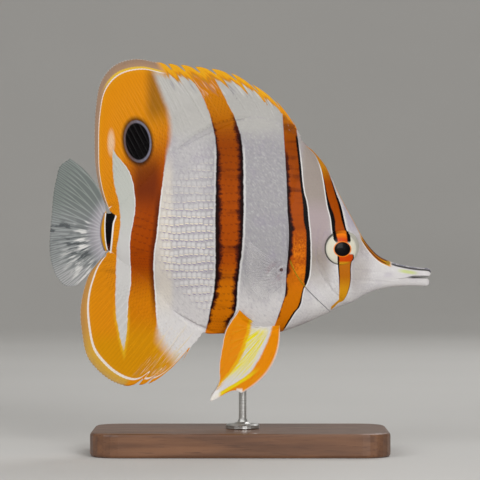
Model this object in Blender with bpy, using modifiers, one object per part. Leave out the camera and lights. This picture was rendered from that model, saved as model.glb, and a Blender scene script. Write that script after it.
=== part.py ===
"""Copperband butterflyfish, Chelmon rostratus: a still, life-size model held by a rod on a flat base.

The fish faces +X and +Z is up. The origin is under the middle of the whole, on the surface it stands on.
Sizes and places are in millimetres, and become metres when a mesh is made.
"""
import math

import bmesh
import bpy
from mathutils import Matrix, Vector

MM = 0.001
GAP = 0.3  # kept between neighbouring pieces, along the shortest way across
CURVED_GAP = 0.2  # half of the gap along X where two pieces meet on a slanting edge

# The body in side view: the top and the bottom of the flesh, without fins, as (x, z) keys.
BACK_LINE = [
    (-59.5, 101.7), (-54.0, 100.2), (-50.0, 104.0), (-42.0, 111.5), (-32.0, 122.8), (-20.0, 133.7),
    (-8.0, 139.6), (2.0, 141.3), (12.0, 140.0), (18.0, 137.0), (25.5, 131.0), (31.0, 126.0), (36.5, 119.0),
    (41.5, 108.5), (47.0, 98.2), (52.0, 89.2), (57.0, 83.3), (63.0, 80.0), (70.0, 77.9), (76.0, 76.8),
    (79.4, 76.0), (80.1, 75.0),
]
BELLY_LINE = [
    (-59.5, 83.8), (-54.0, 84.8), (-50.0, 80.5), (-42.0, 74.9), (-32.0, 63.6), (-20.0, 52.6), (-14.0, 50.2),
    (-8.0, 50.2), (2.0, 50.0), (12.0, 50.1), (18.0, 51.1), (25.5, 53.7), (31.0, 56.0), (36.5, 58.5),
    (41.5, 61.3), (47.0, 63.2), (52.0, 66.1), (57.0, 68.2), (63.0, 69.5), (70.0, 69.9), (76.0, 70.2),
    (79.4, 70.9), (80.1, 71.6),
]

# The body from above: half of its width, and the height of its widest line, as (x, value) keys.
HALF_WIDTH = [
    (-59.5, 2.2), (-53.4, 2.6), (-46.3, 3.6), (-33.7, 6.0), (-16.9, 8.6), (-0.1, 10.2), (12.5, 10.6),
    (25.1, 10.2), (37.7, 8.6), (46.1, 7.0), (54.5, 4.2), (62.9, 2.8), (71.3, 2.2), (78.0, 1.6), (80.1, 1.1),
]
WIDEST_LINE = [(-59.5, 92.8), (-46.0, 91.8), (0.0, 91.3), (20.0, 86.0), (37.7, 79.5), (60.0, 74.5), (80.1, 73.3)]

# Half of the width left at the very top and bottom of a section, and how round the section is there:
# 1 runs nearly straight to the edge, as under a fin, and 0.5 is an ellipse.
TOP_STRIP = [(-59.5, 1.1), (20.0, 1.1), (30.0, 0.8), (50.0, 0.8), (80.1, 0.5)]
BOTTOM_STRIP = [(-59.5, 1.1), (-14.0, 1.1), (0.0, 0.8), (80.1, 0.5)]
TOP_ROUNDNESS = [(-59.5, 0.6), (-50.0, 0.8), (0.0, 0.85), (25.0, 0.75), (40.0, 0.62), (60.0, 0.52), (80.1, 0.5)]
BOTTOM_ROUNDNESS = [(-59.5, 0.6), (-50.0, 0.8), (-20.0, 0.8), (0.0, 0.62), (50.0, 0.58), (80.1, 0.5)]
SECTION_POWER = 2.3
THICKEST_STRIP = 0.8  # the most of the width that the top or bottom strip takes where the body is thin
BODY_MIDDLE_Z = 92.8
MEETING_STEPS = 60  # halvings that find where an edge crosses a line of the side view
SLOPE_STEP = 0.2  # the distance over which a slope of the surface is read
SHARP_ANGLE = math.radians(40)

# Where the body is parted, in side view.
STALK_CUT_X = -50.0
SNOUT_CUT_X = 55.5
GILL_EDGE = [  # (z, x) keys, from the throat up to the nape
    (54.0, 42.5), (60.0, 36.9), (64.0, 32.7), (68.2, 28.5), (72.4, 25.1), (77.4, 22.2), (82.5, 20.5),
    (89.2, 19.6), (97.0, 19.9), (105.0, 21.2), (120.0, 24.4), (134.0, 27.6),
]
GILL_LIFT = 0.45  # how far the gill cover's rear edge stands proud of the trunk
GILL_LIFT_RUN = 4.0  # and over what length it sinks into the cheek

# The mouth, from its corner to the tip of the snout.
MOUTH_CORNER_X = 66.3
MOUTH_LINE = [(60.0, 72.2), (66.3, 72.8), (71.3, 73.6), (80.1, 73.6)]
MOUTH_OPEN = [(60.0, 0.4), (66.3, 0.4), (80.1, 1.0)]  # height of the slit between the jaws
MOUTH_STEP = 0.3  # the length over which the snout's underside steps up at the corner
UPPER_TIP_X = 80.1
LOWER_TIP_X = 79.4
TIP_ROUNDNESS = 0.22  # how far a jaw's tip curves back, for each square millimetre from its middle
TIP_HALF_HEIGHT = 1.5
LIP_SWELL = 0.3
LIP_BREADTH = 0.7
LIP_RUN = 4.0  # the length over which the lips swell from the corner of the mouth

# Eyes, each an oblate ball set in the side of the head, and the nostrils before them.
EYE_X, EYE_Z = 42.1, 86.0
EYE_RADIUS = 8.0
EYE_DEPTH_RADIUS = 2.8
EYE_SINK = 1.5
EYE_SEGMENTS = 22
EYE_YAW = math.radians(14.0)
EYE_ROLL = math.radians(4.0)
NOSTRILS = [(51.2, 84.3), (53.0, 82.7)]
NOSTRIL_RADIUS = 0.5
NOSTRIL_SEGMENTS = 8

# Fins: half of the thickness of the root, of a ray or spine, of the web between, and of the free edge.
FIN_ROOT_HALF = 1.0
RAY_HALF = 0.5
WEB_HALF = 0.27
EDGE_HALF = 0.26
SPINE_HALF = 0.75
ROOT_TAPER = 9.0  # the length over which a fin thins from its root
EDGE_TAPER_START = 0.3  # the share of a ray from which it thins to the free edge

# Rays of each median fin as (x of the root, x of the tip, z of the tip, forward bow), front to rear.
SPINY_DORSAL_RAYS = [
    (25.6, 21.9, 139.7, 0.8), (20.8, 14.7, 147.9, 2.4), (15.4, 4.9, 154.7, 2.8), (9.8, -3.9, 159.3, 2.8),
    (4.0, -12.1, 161.2, 2.6), (-1.8, -19.0, 162.1, 2.4), (-7.6, -25.1, 162.8, 2.2), (-13.4, -30.3, 163.3, 2.0),
    (-19.2, -35.0, 163.9, 1.8),
]
SOFT_DORSAL_RAYS = [
    (-19.9, -35.8, 164.0, 1.8), (-25.0, -43.8, 165.4, 1.6), (-31.0, -53.0, 162.7, 1.4), (-36.5, -58.5, 156.0, 1.2),
    (-42.0, -60.7, 145.5, 1.0), (-46.5, -61.3, 131.2, 0.8), (-50.0, -60.6, 117.8, 0.4), (-51.6, -58.7, 109.4, 0.2),
    (-52.6, -56.6, 104.4, 0.0), (-53.2, -54.6, 102.0, 0.0),
]
ANAL_RAYS = [
    (-15.2, -24.3, 38.3, -0.6), (-18.2, -38.7, 28.8, 1.2), (-21.8, -42.6, 28.4, 1.6), (-25.6, -48.8, 28.0, 1.8),
    (-29.4, -54.3, 30.0, 1.8), (-34.0, -60.2, 34.6, 1.6), (-38.5, -64.4, 40.2, 1.4), (-43.0, -66.4, 48.7, 1.2),
    (-47.0, -67.2, 59.8, 0.8), (-50.0, -65.4, 69.5, 0.4), (-51.8, -62.9, 75.8, 0.0), (-52.8, -58.9, 80.8, 0.0),
    (-53.4, -55.0, 83.2, 0.0),
]
NOTCH_SHAPE = [(0.14, 1.0), (0.5, 0.65), (0.84, 0.2)]  # place between two spines, and share of the notch there
DORSAL_NOTCHES = [0.3, 0.28, 0.24, 0.18, 0.14, 0.13, 0.12, 0.1]  # depth of each notch, as a share of the ray
ANAL_NOTCHES = [0.2, 0.07, 0.0]
SOFT_DORSAL_RAY_COUNT = 29
SOFT_ANAL_RAY_COUNT = 20
ANAL_SPINE_COUNT = 3
FIN_ROWS = 6
ROW_CROWDING = 1.25  # above 1, the rows of a fin lie closer together near its root

# The tail fin: rays as (z of the root, x of the tip, z of the tip, bow), top to bottom.
TAIL_ROOT_X = -58.9
TAIL_ROOT_CURVE = 1.7
TAIL_ROOT_HALF_HEIGHT = 8.0
TAIL_RAYS = [
    (100.8, -71.6, 123.4, 6.4), (99.0, -75.5, 120.5, 4.4), (96.8, -77.3, 115.0, 2.4), (94.8, -78.6, 108.1, 1.0),
    (93.2, -79.3, 99.7, 0.3), (91.6, -80.0, 90.5, 0.0), (89.8, -79.8, 82.0, 0.0), (88.0, -78.6, 77.0, 0.4),
    (86.6, -76.3, 72.4, 0.8), (85.7, -73.4, 69.9, 1.2), (85.0, -69.0, 69.9, 1.4),
]
TAIL_RAY_COUNT = 17
TAIL_WAVE = 0.8  # how far the tail's web swings to the side
TAIL_WAVE_RUN = 20.0
TAIL_WAVE_LENGTH = 7.0

# The pelvic fin of one side, rays as (x, z of the root, x, z of the tip, bow), front to rear.
PELVIC_RAYS = [
    (16.4, 54.6, 0.4, 25.4, 11.5), (15.0, 54.4, -2.4, 26.4, 9.0), (13.6, 54.1, -12.7, 22.3, 5.5),
    (12.4, 53.8, -9.0, 29.5, 3.0), (11.2, 53.5, -8.8, 37.0, 1.5), (10.3, 53.3, -7.7, 44.0, 0.8),
    (9.5, 53.1, -6.2, 51.0, 0.0), (8.7, 52.9, -0.5, 60.2, -1.0),
]
PELVIC_RAY_COUNT = 7
PELVIC_MIDDLE = (11.5, 54.0)
PELVIC_OUT = 4.9  # how far from the middle plane the fin's root region lies
PELVIC_SPLAY = 0.15  # and how much further for each millimetre away from it
PELVIC_BELOW = 0.5  # the fin counts as below the belly up to this far above its line
PELVIC_CLEAR = 0.95  # from the flank to the middle of the fin where it lies over the body

# The pectoral fin of one side, in the same way, top to bottom.
PECTORAL_RAYS = [
    (18.0, 79.6, 1.2, 90.0, -1.6), (17.9, 77.0, -1.0, 84.0, -0.6), (17.8, 74.6, -0.2, 76.0, 0.0),
    (17.6, 72.8, 3.3, 69.0, 0.5), (17.4, 71.0, 9.1, 64.2, 1.0),
]
PECTORAL_RAY_COUNT = 14
PECTORAL_OUT = 1.1
PECTORAL_SPLAY = 0.32
PAIRED_ROOT_HALF = 0.7  # half of the breadth of a paired fin's root, along the skin
PAIRED_ROWS = 4

# The display stand.
BASE_LENGTH, BASE_DEPTH, BASE_HEIGHT = 124.0, 64.0, 10.0
BASE_CORNER = 12.0
BASE_CORNER_SEGMENTS = 6
BASE_EDGE = 1.2
BASE_EDGE_SEGMENTS = 2
ROD_X = 1.0
ROD_RADIUS = 1.6
ROD_FOOT_RADIUS = 7.0
ROD_FOOT_HEIGHT = 2.0
ROD_IN_BODY = 5.0
ROD_CHAMFER = 0.3
ROD_FILLET = [(0.0, 2.0), (0.6, 0.6), (2.0, 0.0)]  # between rod and foot, as (out from the rod, above the foot)
ROD_FOOT_ROUND = [(0.6, 0.2), (0.0, 0.8)]  # the foot's rim, as (in from its edge, below its top)
ROD_SIDES = 24
ROD_MERGE = 0.00005  # metres
SOCKET_OVERSHOOT = 6.0  # how far the socket's cutter reaches below the belly

# Colours and finish of the materials: base colour, roughness, metallic.
FINISHES = {
    "skin_white": ((0.62, 0.58, 0.57), 0.45, 0.0),
    "skin_orange": ((0.70, 0.26, 0.02), 0.45, 0.0),
    "fin_orange": ((0.76, 0.40, 0.03), 0.4, 0.0),
    "fin_clear": ((0.62, 0.62, 0.60), 0.35, 0.0),
    "eye": ((0.03, 0.02, 0.02), 0.08, 0.0),
    "walnut": ((0.16, 0.07, 0.03), 0.4, 0.0),
    "steel": ((0.60, 0.60, 0.60), 0.3, 1.0),
}


def clear_scene():
    for old in list(bpy.data.objects):
        bpy.data.objects.remove(old, do_unlink=True)


def new_collection(name):
    collection = bpy.data.collections.new(name)
    bpy.context.scene.collection.children.link(collection)
    return collection


def make_material(name):
    color, roughness, metallic = FINISHES[name]
    material = bpy.data.materials.new(name)
    material.use_nodes = True
    shader = material.node_tree.nodes["Principled BSDF"]
    shader.inputs["Base Color"].default_value = (*color, 1.0)
    shader.inputs["Roughness"].default_value = roughness
    shader.inputs["Metallic"].default_value = metallic
    return material


def curve(keys):
    """A smooth function through (place, value) keys, each with a slope drawn from both its neighbours."""
    places = [key[0] for key in keys]
    values = [key[1] for key in keys]
    spans = [b - a for a, b in zip(places, places[1:])]
    rises = [(b - a) / span for a, b, span in zip(values, values[1:], spans)]
    slopes = [rises[0]]
    for k in range(1, len(keys) - 1):
        before, after = spans[k - 1], spans[k]
        slopes.append((rises[k - 1] * after + rises[k] * before) / (before + after))
    slopes.append(rises[-1])

    def at(place):
        place = min(max(place, places[0]), places[-1])
        k = 0
        while k < len(spans) - 1 and place > places[k + 1]:
            k += 1
        s = (place - places[k]) / spans[k]
        swing = s * (1 - s) * ((1 - s) * (slopes[k] - rises[k]) - s * (slopes[k + 1] - rises[k]))
        return values[k] + rises[k] * s * spans[k] + swing * spans[k]

    return at


back_line = curve(BACK_LINE)
belly_line = curve(BELLY_LINE)
widest_half = curve(HALF_WIDTH)
widest_line = curve(WIDEST_LINE)
top_strip = curve(TOP_STRIP)
bottom_strip = curve(BOTTOM_STRIP)
top_roundness = curve(TOP_ROUNDNESS)
bottom_roundness = curve(BOTTOM_ROUNDNESS)
gill_edge = curve(GILL_EDGE)
mouth_line = curve(MOUTH_LINE)
mouth_open = curve(MOUTH_OPEN)


def ease(share):
    share = min(max(share, 0.0), 1.0)
    return share * share * (3 - 2 * share)


def half_width(x, z):
    """Half of the body's width at a point of the side view."""
    middle = widest_line(x)
    if z >= middle:
        share = (z - middle) / (back_line(x) - middle)
        strip, roundness = top_strip(x), top_roundness(x)
    else:
        share = (middle - z) / (middle - belly_line(x))
        strip, roundness = bottom_strip(x), bottom_roundness(x)
    share = min(share, 1.0)
    strip = min(strip, THICKEST_STRIP * widest_half(x))
    return strip + (widest_half(x) - strip) * (1 - share ** SECTION_POWER) ** roundness


def head_half_width(x, z):
    """The same, with the gill cover's raised rear edge and the lips."""
    past_edge = x - gill_edge(z)
    cover = GILL_LIFT * (1 - ease(past_edge / GILL_LIFT_RUN))
    fullness = min(half_width(x, z) / widest_half(x), 1.0)
    lip = LIP_SWELL * math.exp(-((z - mouth_line(x)) / LIP_BREADTH) ** 2) * ease((x - MOUTH_CORNER_X) / LIP_RUN)
    return half_width(x, z) + cover * fullness + lip


def surface_normal(x, z, side):
    """The outward direction of the trunk's surface on one side, at a point of the side view."""
    step = SLOPE_STEP
    slope_x = (half_width(x + step, z) - half_width(x - step, z)) / (2 * step)
    slope_z = (half_width(x, z + step) - half_width(x, z - step)) / (2 * step)
    return Vector((-slope_x, side, -slope_z)).normalized()


def mesh_object(name, points, faces, material, collection):
    """A closed mesh object from points in millimetres, with its faces turned outwards."""
    mesh = bpy.data.meshes.new(name)
    mesh.from_pydata([Vector(point) * MM for point in points], [], faces)
    shaped = bmesh.new()
    shaped.from_mesh(mesh)
    bmesh.ops.recalc_face_normals(shaped, faces=shaped.faces)
    shaped.to_mesh(mesh)
    shaped.free()
    mesh.materials.append(material)
    mesh.shade_smooth()
    mesh.set_sharp_from_angle(angle=SHARP_ANGLE)
    made = bpy.data.objects.new(name, mesh)
    collection.objects.link(made)
    return made


def shaped_object(name, shaped, material, collection):
    """The same from a bmesh in millimetres, which it frees."""
    shaped.verts.index_update()
    points = [vertex.co.copy() for vertex in shaped.verts]
    faces = [[vertex.index for vertex in face.verts] for face in shaped.faces]
    shaped.free()
    return mesh_object(name, points, faces, material, collection)


def closed_sheet(name, left, right, material, collection):
    """A solid between two grids of points, with triangles laid alike on both, joined round their borders."""
    columns, rows = len(left), len(left[0])
    points = [point for grid in (left, right) for column in grid for point in column]
    other = columns * rows

    def index(i, j):
        return i * rows + j

    faces = []
    for i in range(columns - 1):
        for j in range(rows - 1):
            a, b, c, d = index(i, j), index(i + 1, j), index(i + 1, j + 1), index(i, j + 1)
            faces += [(a, b, c), (a, c, d), (c + other, b + other, a + other), (d + other, c + other, a + other)]
    border = [index(i, 0) for i in range(columns)]
    border += [index(columns - 1, j) for j in range(1, rows)]
    border += [index(i, rows - 1) for i in range(columns - 2, -1, -1)]
    border += [index(0, j) for j in range(rows - 2, 0, -1)]
    for a, b in zip(border, border[1:] + border[:1]):
        faces += [(b, a, a + other), (b, a + other, b + other)]
    return mesh_object(name, points, faces, material, collection)


def meeting_x(edge, height):
    """The x at which the side-view line height(x) crosses the edge given as x = edge(z)."""
    x = edge(BODY_MIDDLE_Z)
    for _ in range(MEETING_STEPS):
        x = 0.5 * (x + edge(height(x)))
    return x


def even(count):
    return [k / count for k in range(count + 1)]


def flesh(name, rear, front, low, high, stations, rows, width, material, collection):
    """One length of the body between the edges rear(z) and front(z) and the lines low(x) and high(x)."""
    grid = []
    for share in stations:
        column = []
        for j in range(rows + 1):
            level = 0.5 + 0.5 * math.sin(math.pi * (j / rows - 0.5))

            def height(x, level=level):
                return low(x) + (high(x) - low(x)) * level

            rear_x = meeting_x(rear, height)
            x = rear_x + (meeting_x(front, height) - rear_x) * share
            column.append((x, width(x, height(x)), height(x)))
        grid.append(column)
    right = [[(x, -y, z) for x, y, z in column] for column in grid]
    return closed_sheet(name, grid, right, material, collection)


def bent_ray(root, tip, bow, share):
    """A point of the side view on a ray that bows forward, at a share of its length."""
    across = Vector((tip[1] - root[1], root[0] - tip[0])).normalized()
    if across.x < 0:
        across.negate()
    knee = (Vector(root) + Vector(tip)) / 2 + across * bow
    there = Vector(root) * (1 - share) ** 2 + knee * 2 * share * (1 - share) + Vector(tip) * share ** 2
    return there.x, there.y


def ray_fan(rays):
    """A function (place, share) over a fan of ((root), (tip), bow) rays, and the place of each ray in it."""
    places = [0.0]
    for (root_a, tip_a, _), (root_b, tip_b, _) in zip(rays, rays[1:]):
        step = (Vector(root_b) - Vector(root_a)).length + (Vector(tip_b) - Vector(tip_a)).length
        places.append(places[-1] + step)
    places = [place / places[-1] for place in places]
    lines = []
    for pick in (lambda r: r[0][0], lambda r: r[0][1], lambda r: r[1][0], lambda r: r[1][1], lambda r: r[2]):
        lines.append(curve([(place, pick(ray)) for place, ray in zip(places, rays)]))

    def at(place, share):
        root_x, root_z, tip_x, tip_z, bow = [line(place) for line in lines]
        return bent_ray((root_x, root_z), (tip_x, tip_z), bow, share)

    return at, places


def soft_columns(start, end, count):
    """Fan places of soft rays and of the web between them, as (place, reach, half thickness)."""
    columns = []
    for k in range(2 * count - 1):
        place = start + (end - start) * k / (2 * count - 2)
        columns.append((place, 1.0, RAY_HALF if k % 2 == 0 else WEB_HALF))
    return columns


def spine_columns(places, notches):
    """The same for spines that stand out of a notched web."""
    columns = []
    for here, after, depth in zip(places, places[1:], notches):
        columns.append((here, 1.0, SPINE_HALF))
        columns += [(here + (after - here) * share, 1 - depth * part, WEB_HALF) for share, part in NOTCH_SHAPE]
    return columns


def fin_half(half, length, share):
    """Half of a fin's thickness on a ray of one length, at a share of it."""
    thinned = ease(share * length / ROOT_TAPER)
    full = FIN_ROOT_HALF + (half - FIN_ROOT_HALF) * thinned
    to_edge = ease((share - EDGE_TAPER_START) / (1 - EDGE_TAPER_START))
    return full + (min(half, EDGE_HALF) - full) * to_edge


def median_fin(name, fan, columns, material, collection, sway=None):
    """A fin in the middle plane, its rays raised in both faces of the web."""
    left, right = [], []
    for place, reach, half in columns:
        root, tip = Vector(fan(place, 0.0)), Vector(fan(place, 1.0))
        length = (tip - root).length
        left_column, right_column = [], []
        for k in range(FIN_ROWS + 1):
            share = (k / FIN_ROWS) ** ROW_CROWDING
            x, z = fan(place, share * reach)
            thick = fin_half(half, length, share)
            aside = sway(x, z) if sway else 0.0
            left_column.append((x, aside + thick, z))
            right_column.append((x, aside - thick, z))
        left.append(left_column)
        right.append(right_column)
    return closed_sheet(name, left, right, material, collection)


def on_line(line, keys, away):
    """Rays from keys of (root x, tip x, tip z, bow), rooted just off one of the body's lines."""
    return [((root_x, line(root_x) + away), (tip_x, tip_z), bow) for root_x, tip_x, tip_z, bow in keys]


def make_spiny_dorsal(material, collection):
    fan, places = ray_fan(on_line(back_line, SPINY_DORSAL_RAYS, GAP))
    columns = spine_columns(places, DORSAL_NOTCHES) + [(1.0, 1.0, SPINE_HALF)]
    return median_fin("spiny_dorsal_fin", fan, columns, material, collection)


def make_soft_dorsal(material, collection):
    fan, _ = ray_fan(on_line(back_line, SOFT_DORSAL_RAYS, GAP))
    return median_fin("soft_dorsal_fin", fan, soft_columns(0.0, 1.0, SOFT_DORSAL_RAY_COUNT), material, collection)


def make_anal(material, collection):
    fan, places = ray_fan(on_line(belly_line, ANAL_RAYS, -GAP))
    soft_start = places[ANAL_SPINE_COUNT]
    columns = spine_columns(places[: ANAL_SPINE_COUNT + 1], ANAL_NOTCHES)
    columns += soft_columns(soft_start, 1.0, SOFT_ANAL_RAY_COUNT)
    return median_fin("anal_fin", fan, columns, material, collection)


def tail_root_x(z):
    """The rounded end of the tail stalk, from which the tail fin grows."""
    return TAIL_ROOT_X + TAIL_ROOT_CURVE * ((z - BODY_MIDDLE_Z) / TAIL_ROOT_HALF_HEIGHT) ** 2


def make_tail(material, collection):
    rays = [((tail_root_x(z), z), (tip_x, tip_z), bow) for z, tip_x, tip_z, bow in TAIL_RAYS]
    fan, _ = ray_fan(rays)

    def sway(x, z):
        reach = ease((TAIL_ROOT_X - x) / TAIL_WAVE_RUN)
        return TAIL_WAVE * reach * math.sin((z - BODY_MIDDLE_Z) / TAIL_WAVE_LENGTH)

    return median_fin("tail_fin", fan, soft_columns(0.0, 1.0, TAIL_RAY_COUNT), material, collection, sway)


def paired_fin(name, keys, count, side, out_at, root_along, material, collection):
    """A fin on one side of the trunk: its root faces the skin, and out_at gives how far out a point lies."""
    fan, _ = ray_fan([((root_x, root_z), (tip_x, tip_z), bow) for root_x, root_z, tip_x, tip_z, bow in keys])
    inner, outer = [], []
    for place, _, half in soft_columns(0.0, 1.0, count):
        middles = []
        for k in range(PAIRED_ROWS + 1):
            x, z = fan(place, (k / PAIRED_ROWS) ** ROW_CROWDING)
            middles.append(Vector((x, side * out_at(x, z), z)))
        root_x, root_z = fan(place, 0.0)
        normal = surface_normal(root_x, root_z, side)
        middles[0] = Vector((root_x, side * half_width(root_x, root_z), root_z)) + normal * GAP
        along = (Vector(root_along) - normal * normal.dot(Vector(root_along))).normalized() * PAIRED_ROOT_HALF
        inner_column, outer_column = [middles[0] - along], [middles[0] + along]
        for k in range(1, PAIRED_ROWS + 1):
            ahead = middles[min(k + 1, PAIRED_ROWS)] - middles[k - 1]
            face = Vector((0, side, 0)) - ahead * ahead.y * side / ahead.length_squared
            thick = half if k < PAIRED_ROWS else EDGE_HALF
            inner_column.append(middles[k] - face.normalized() * thick)
            outer_column.append(middles[k] + face.normalized() * thick)
        inner.append(inner_column)
        outer.append(outer_column)
    return closed_sheet(name, inner, outer, material, collection)


def pelvic_out(x, z):
    """How far out the pelvic fin lies: splayed below the belly, and clear of the flank above it."""
    away = math.hypot(x - PELVIC_MIDDLE[0], z - PELVIC_MIDDLE[1])
    splayed = PELVIC_OUT + PELVIC_SPLAY * away
    if z <= belly_line(x) + PELVIC_BELOW:
        return splayed
    return max(splayed, half_width(x, z) + PELVIC_CLEAR)


def pectoral_out(x, z):
    """How far out the pectoral fin lies: it leans away from the flank towards its tips."""
    root_x = PECTORAL_RAYS[0][0]
    return half_width(root_x, z) + PECTORAL_OUT + PECTORAL_SPLAY * (root_x - x)


def make_torso(material, collection):
    return flesh(
        "torso", lambda z: STALK_CUT_X + GAP / 2, lambda z: gill_edge(z) - CURVED_GAP,
        belly_line, back_line, even(24), 18, half_width, material, collection,
    )


def make_tail_stalk(material, collection):
    return flesh(
        "tail_stalk", lambda z: tail_root_x(z) + GAP, lambda z: STALK_CUT_X - GAP / 2,
        belly_line, back_line, even(5), 10, half_width, material, collection,
    )


def make_head(material, collection):
    return flesh(
        "head", lambda z: gill_edge(z) + CURVED_GAP, lambda z: SNOUT_CUT_X - GAP / 2,
        belly_line, back_line, even(15), 18, head_half_width, material, collection,
    )


def make_snout(material, collection):
    """The snout with the upper jaw, its underside stepping up to the mouth at the corner."""
    rear_x = SNOUT_CUT_X + GAP / 2
    tip_z = (mouth_line(UPPER_TIP_X) + back_line(UPPER_TIP_X)) / 2
    step_share = (MOUTH_CORNER_X - MOUTH_STEP - rear_x) / (UPPER_TIP_X - rear_x)
    corner_share = (MOUTH_CORNER_X - rear_x) / (UPPER_TIP_X - rear_x)
    stations = [share * step_share for share in even(7)]
    stations += [corner_share + (1 - corner_share) * share for share in even(10)]

    def low(x):
        if x < MOUTH_CORNER_X - MOUTH_STEP / 2:
            return belly_line(x)
        return mouth_line(x) + mouth_open(x) / 2

    return flesh(
        "snout", lambda z: rear_x, lambda z: UPPER_TIP_X - TIP_ROUNDNESS * min(abs(z - tip_z), TIP_HALF_HEIGHT) ** 2,
        low, back_line, stations, 8, head_half_width, material, collection,
    )


def make_lower_jaw(material, collection):
    tip_z = (mouth_line(LOWER_TIP_X) + belly_line(LOWER_TIP_X)) / 2
    return flesh(
        "lower_jaw", lambda z: MOUTH_CORNER_X + GAP,
        lambda z: LOWER_TIP_X - TIP_ROUNDNESS * min(abs(z - tip_z), TIP_HALF_HEIGHT) ** 2,
        belly_line, lambda x: mouth_line(x) - mouth_open(x) / 2, even(10), 6, head_half_width, material, collection,
    )


def eye_matrix(side):
    """Where an eye's ball sits and how it is turned to lie in the side of the head."""
    place = Vector((EYE_X, side * (head_half_width(EYE_X, EYE_Z) - EYE_SINK), EYE_Z))
    turn = Matrix.Rotation(-side * EYE_YAW, 4, "Z") @ Matrix.Rotation(side * EYE_ROLL, 4, "X")
    return Matrix.Translation(place) @ turn


def ball(name, radii, matrix, segments, material, collection):
    """An ellipsoid with the given half sizes along its own axes, its poles on Y."""
    shaped = bmesh.new()
    bmesh.ops.create_uvsphere(shaped, u_segments=segments, v_segments=segments // 2, radius=1.0)
    poles = Matrix.Rotation(math.radians(90), 4, "X")
    bmesh.ops.transform(shaped, verts=shaped.verts, matrix=matrix @ Matrix.Diagonal((*radii, 1)) @ poles)
    return shaped_object(name, shaped, material, collection)


def cut(target, cutter):
    """Takes the cutter's shape out of the target, and keeps the cutter out of the finished model."""
    modifier = target.modifiers.new(cutter.name, "BOOLEAN")
    modifier.operation = "DIFFERENCE"
    modifier.object = cutter
    cutter.hide_render = True
    cutter.display_type = "WIRE"


def make_eye(name, side, head, materials, collection, cutters):
    radii = (EYE_RADIUS, EYE_DEPTH_RADIUS, EYE_RADIUS)
    ball(name, radii, eye_matrix(side), EYE_SEGMENTS, materials["eye"], collection)
    wider = tuple(radius + GAP for radius in radii)
    cut(head, ball(name + "_socket", wider, eye_matrix(side), EYE_SEGMENTS, materials["skin_white"], cutters))
    for number, (x, z) in enumerate(NOSTRILS):
        place = Matrix.Translation((x, side * head_half_width(x, z), z))
        pit_name = f"{name}_nostril_{number}"
        radii = (NOSTRIL_RADIUS,) * 3
        cut(head, ball(pit_name, radii, place, NOSTRIL_SEGMENTS, materials["skin_white"], cutters))


def make_base(material, collection):
    """A wooden block with round corners and a softened edge."""
    shaped = bmesh.new()
    bmesh.ops.create_cube(shaped, size=1.0)
    size = Matrix.Diagonal((BASE_LENGTH, BASE_DEPTH, BASE_HEIGHT, 1))
    bmesh.ops.transform(shaped, verts=shaped.verts, matrix=Matrix.Translation((0, 0, BASE_HEIGHT / 2)) @ size)
    upright = [edge for edge in shaped.edges if abs(edge.verts[0].co.z - edge.verts[1].co.z) > BASE_HEIGHT / 2]
    bmesh.ops.bevel(
        shaped, geom=upright, offset=BASE_CORNER, segments=BASE_CORNER_SEGMENTS, profile=0.5, affect="EDGES"
    )
    rims = [edge for edge in shaped.edges if edge.calc_face_angle(0.0) > SHARP_ANGLE]
    bmesh.ops.bevel(shaped, geom=rims, offset=BASE_EDGE, segments=BASE_EDGE_SEGMENTS, profile=0.5, affect="EDGES")
    return shaped_object("stand_base", shaped, material, collection)


def make_rod(torso, materials, collection, cutters):
    """A turned steel rod with a round foot, its top sunk in a socket in the belly."""
    foot = BASE_HEIGHT + GAP
    top = belly_line(ROD_X) + ROD_IN_BODY
    shoulder = foot + ROD_FOOT_HEIGHT
    profile = [(0.0, top), (ROD_RADIUS - ROD_CHAMFER, top), (ROD_RADIUS, top - ROD_CHAMFER)]
    profile += [(ROD_RADIUS + out, shoulder + up) for out, up in ROD_FILLET]
    profile += [(ROD_FOOT_RADIUS - inward, shoulder - down) for inward, down in ROD_FOOT_ROUND]
    profile += [(ROD_FOOT_RADIUS, foot), (0.0, foot)]
    mesh = bpy.data.meshes.new("stand_rod")
    edges = [(k, k + 1) for k in range(len(profile) - 1)]
    mesh.from_pydata([(radius * MM, 0.0, z * MM) for radius, z in profile], edges, [])
    mesh.materials.append(materials["steel"])
    rod = bpy.data.objects.new("stand_rod", mesh)
    collection.objects.link(rod)
    rod.location.x = ROD_X * MM
    turned = rod.modifiers.new("turned", "SCREW")
    turned.steps = turned.render_steps = ROD_SIDES
    turned.use_merge_vertices = True
    turned.merge_threshold = ROD_MERGE
    turned.use_smooth_shade = True
    bottom = belly_line(ROD_X) - SOCKET_OVERSHOOT
    socket = bmesh.new()
    bmesh.ops.create_cone(
        socket, cap_ends=True, segments=ROD_SIDES, radius1=ROD_RADIUS + GAP, radius2=ROD_RADIUS + GAP,
        depth=top + GAP - bottom, matrix=Matrix.Translation((ROD_X, 0.0, (top + GAP + bottom) / 2)),
    )
    cut(torso, shaped_object("rod_socket", socket, materials["skin_white"], cutters))


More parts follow.
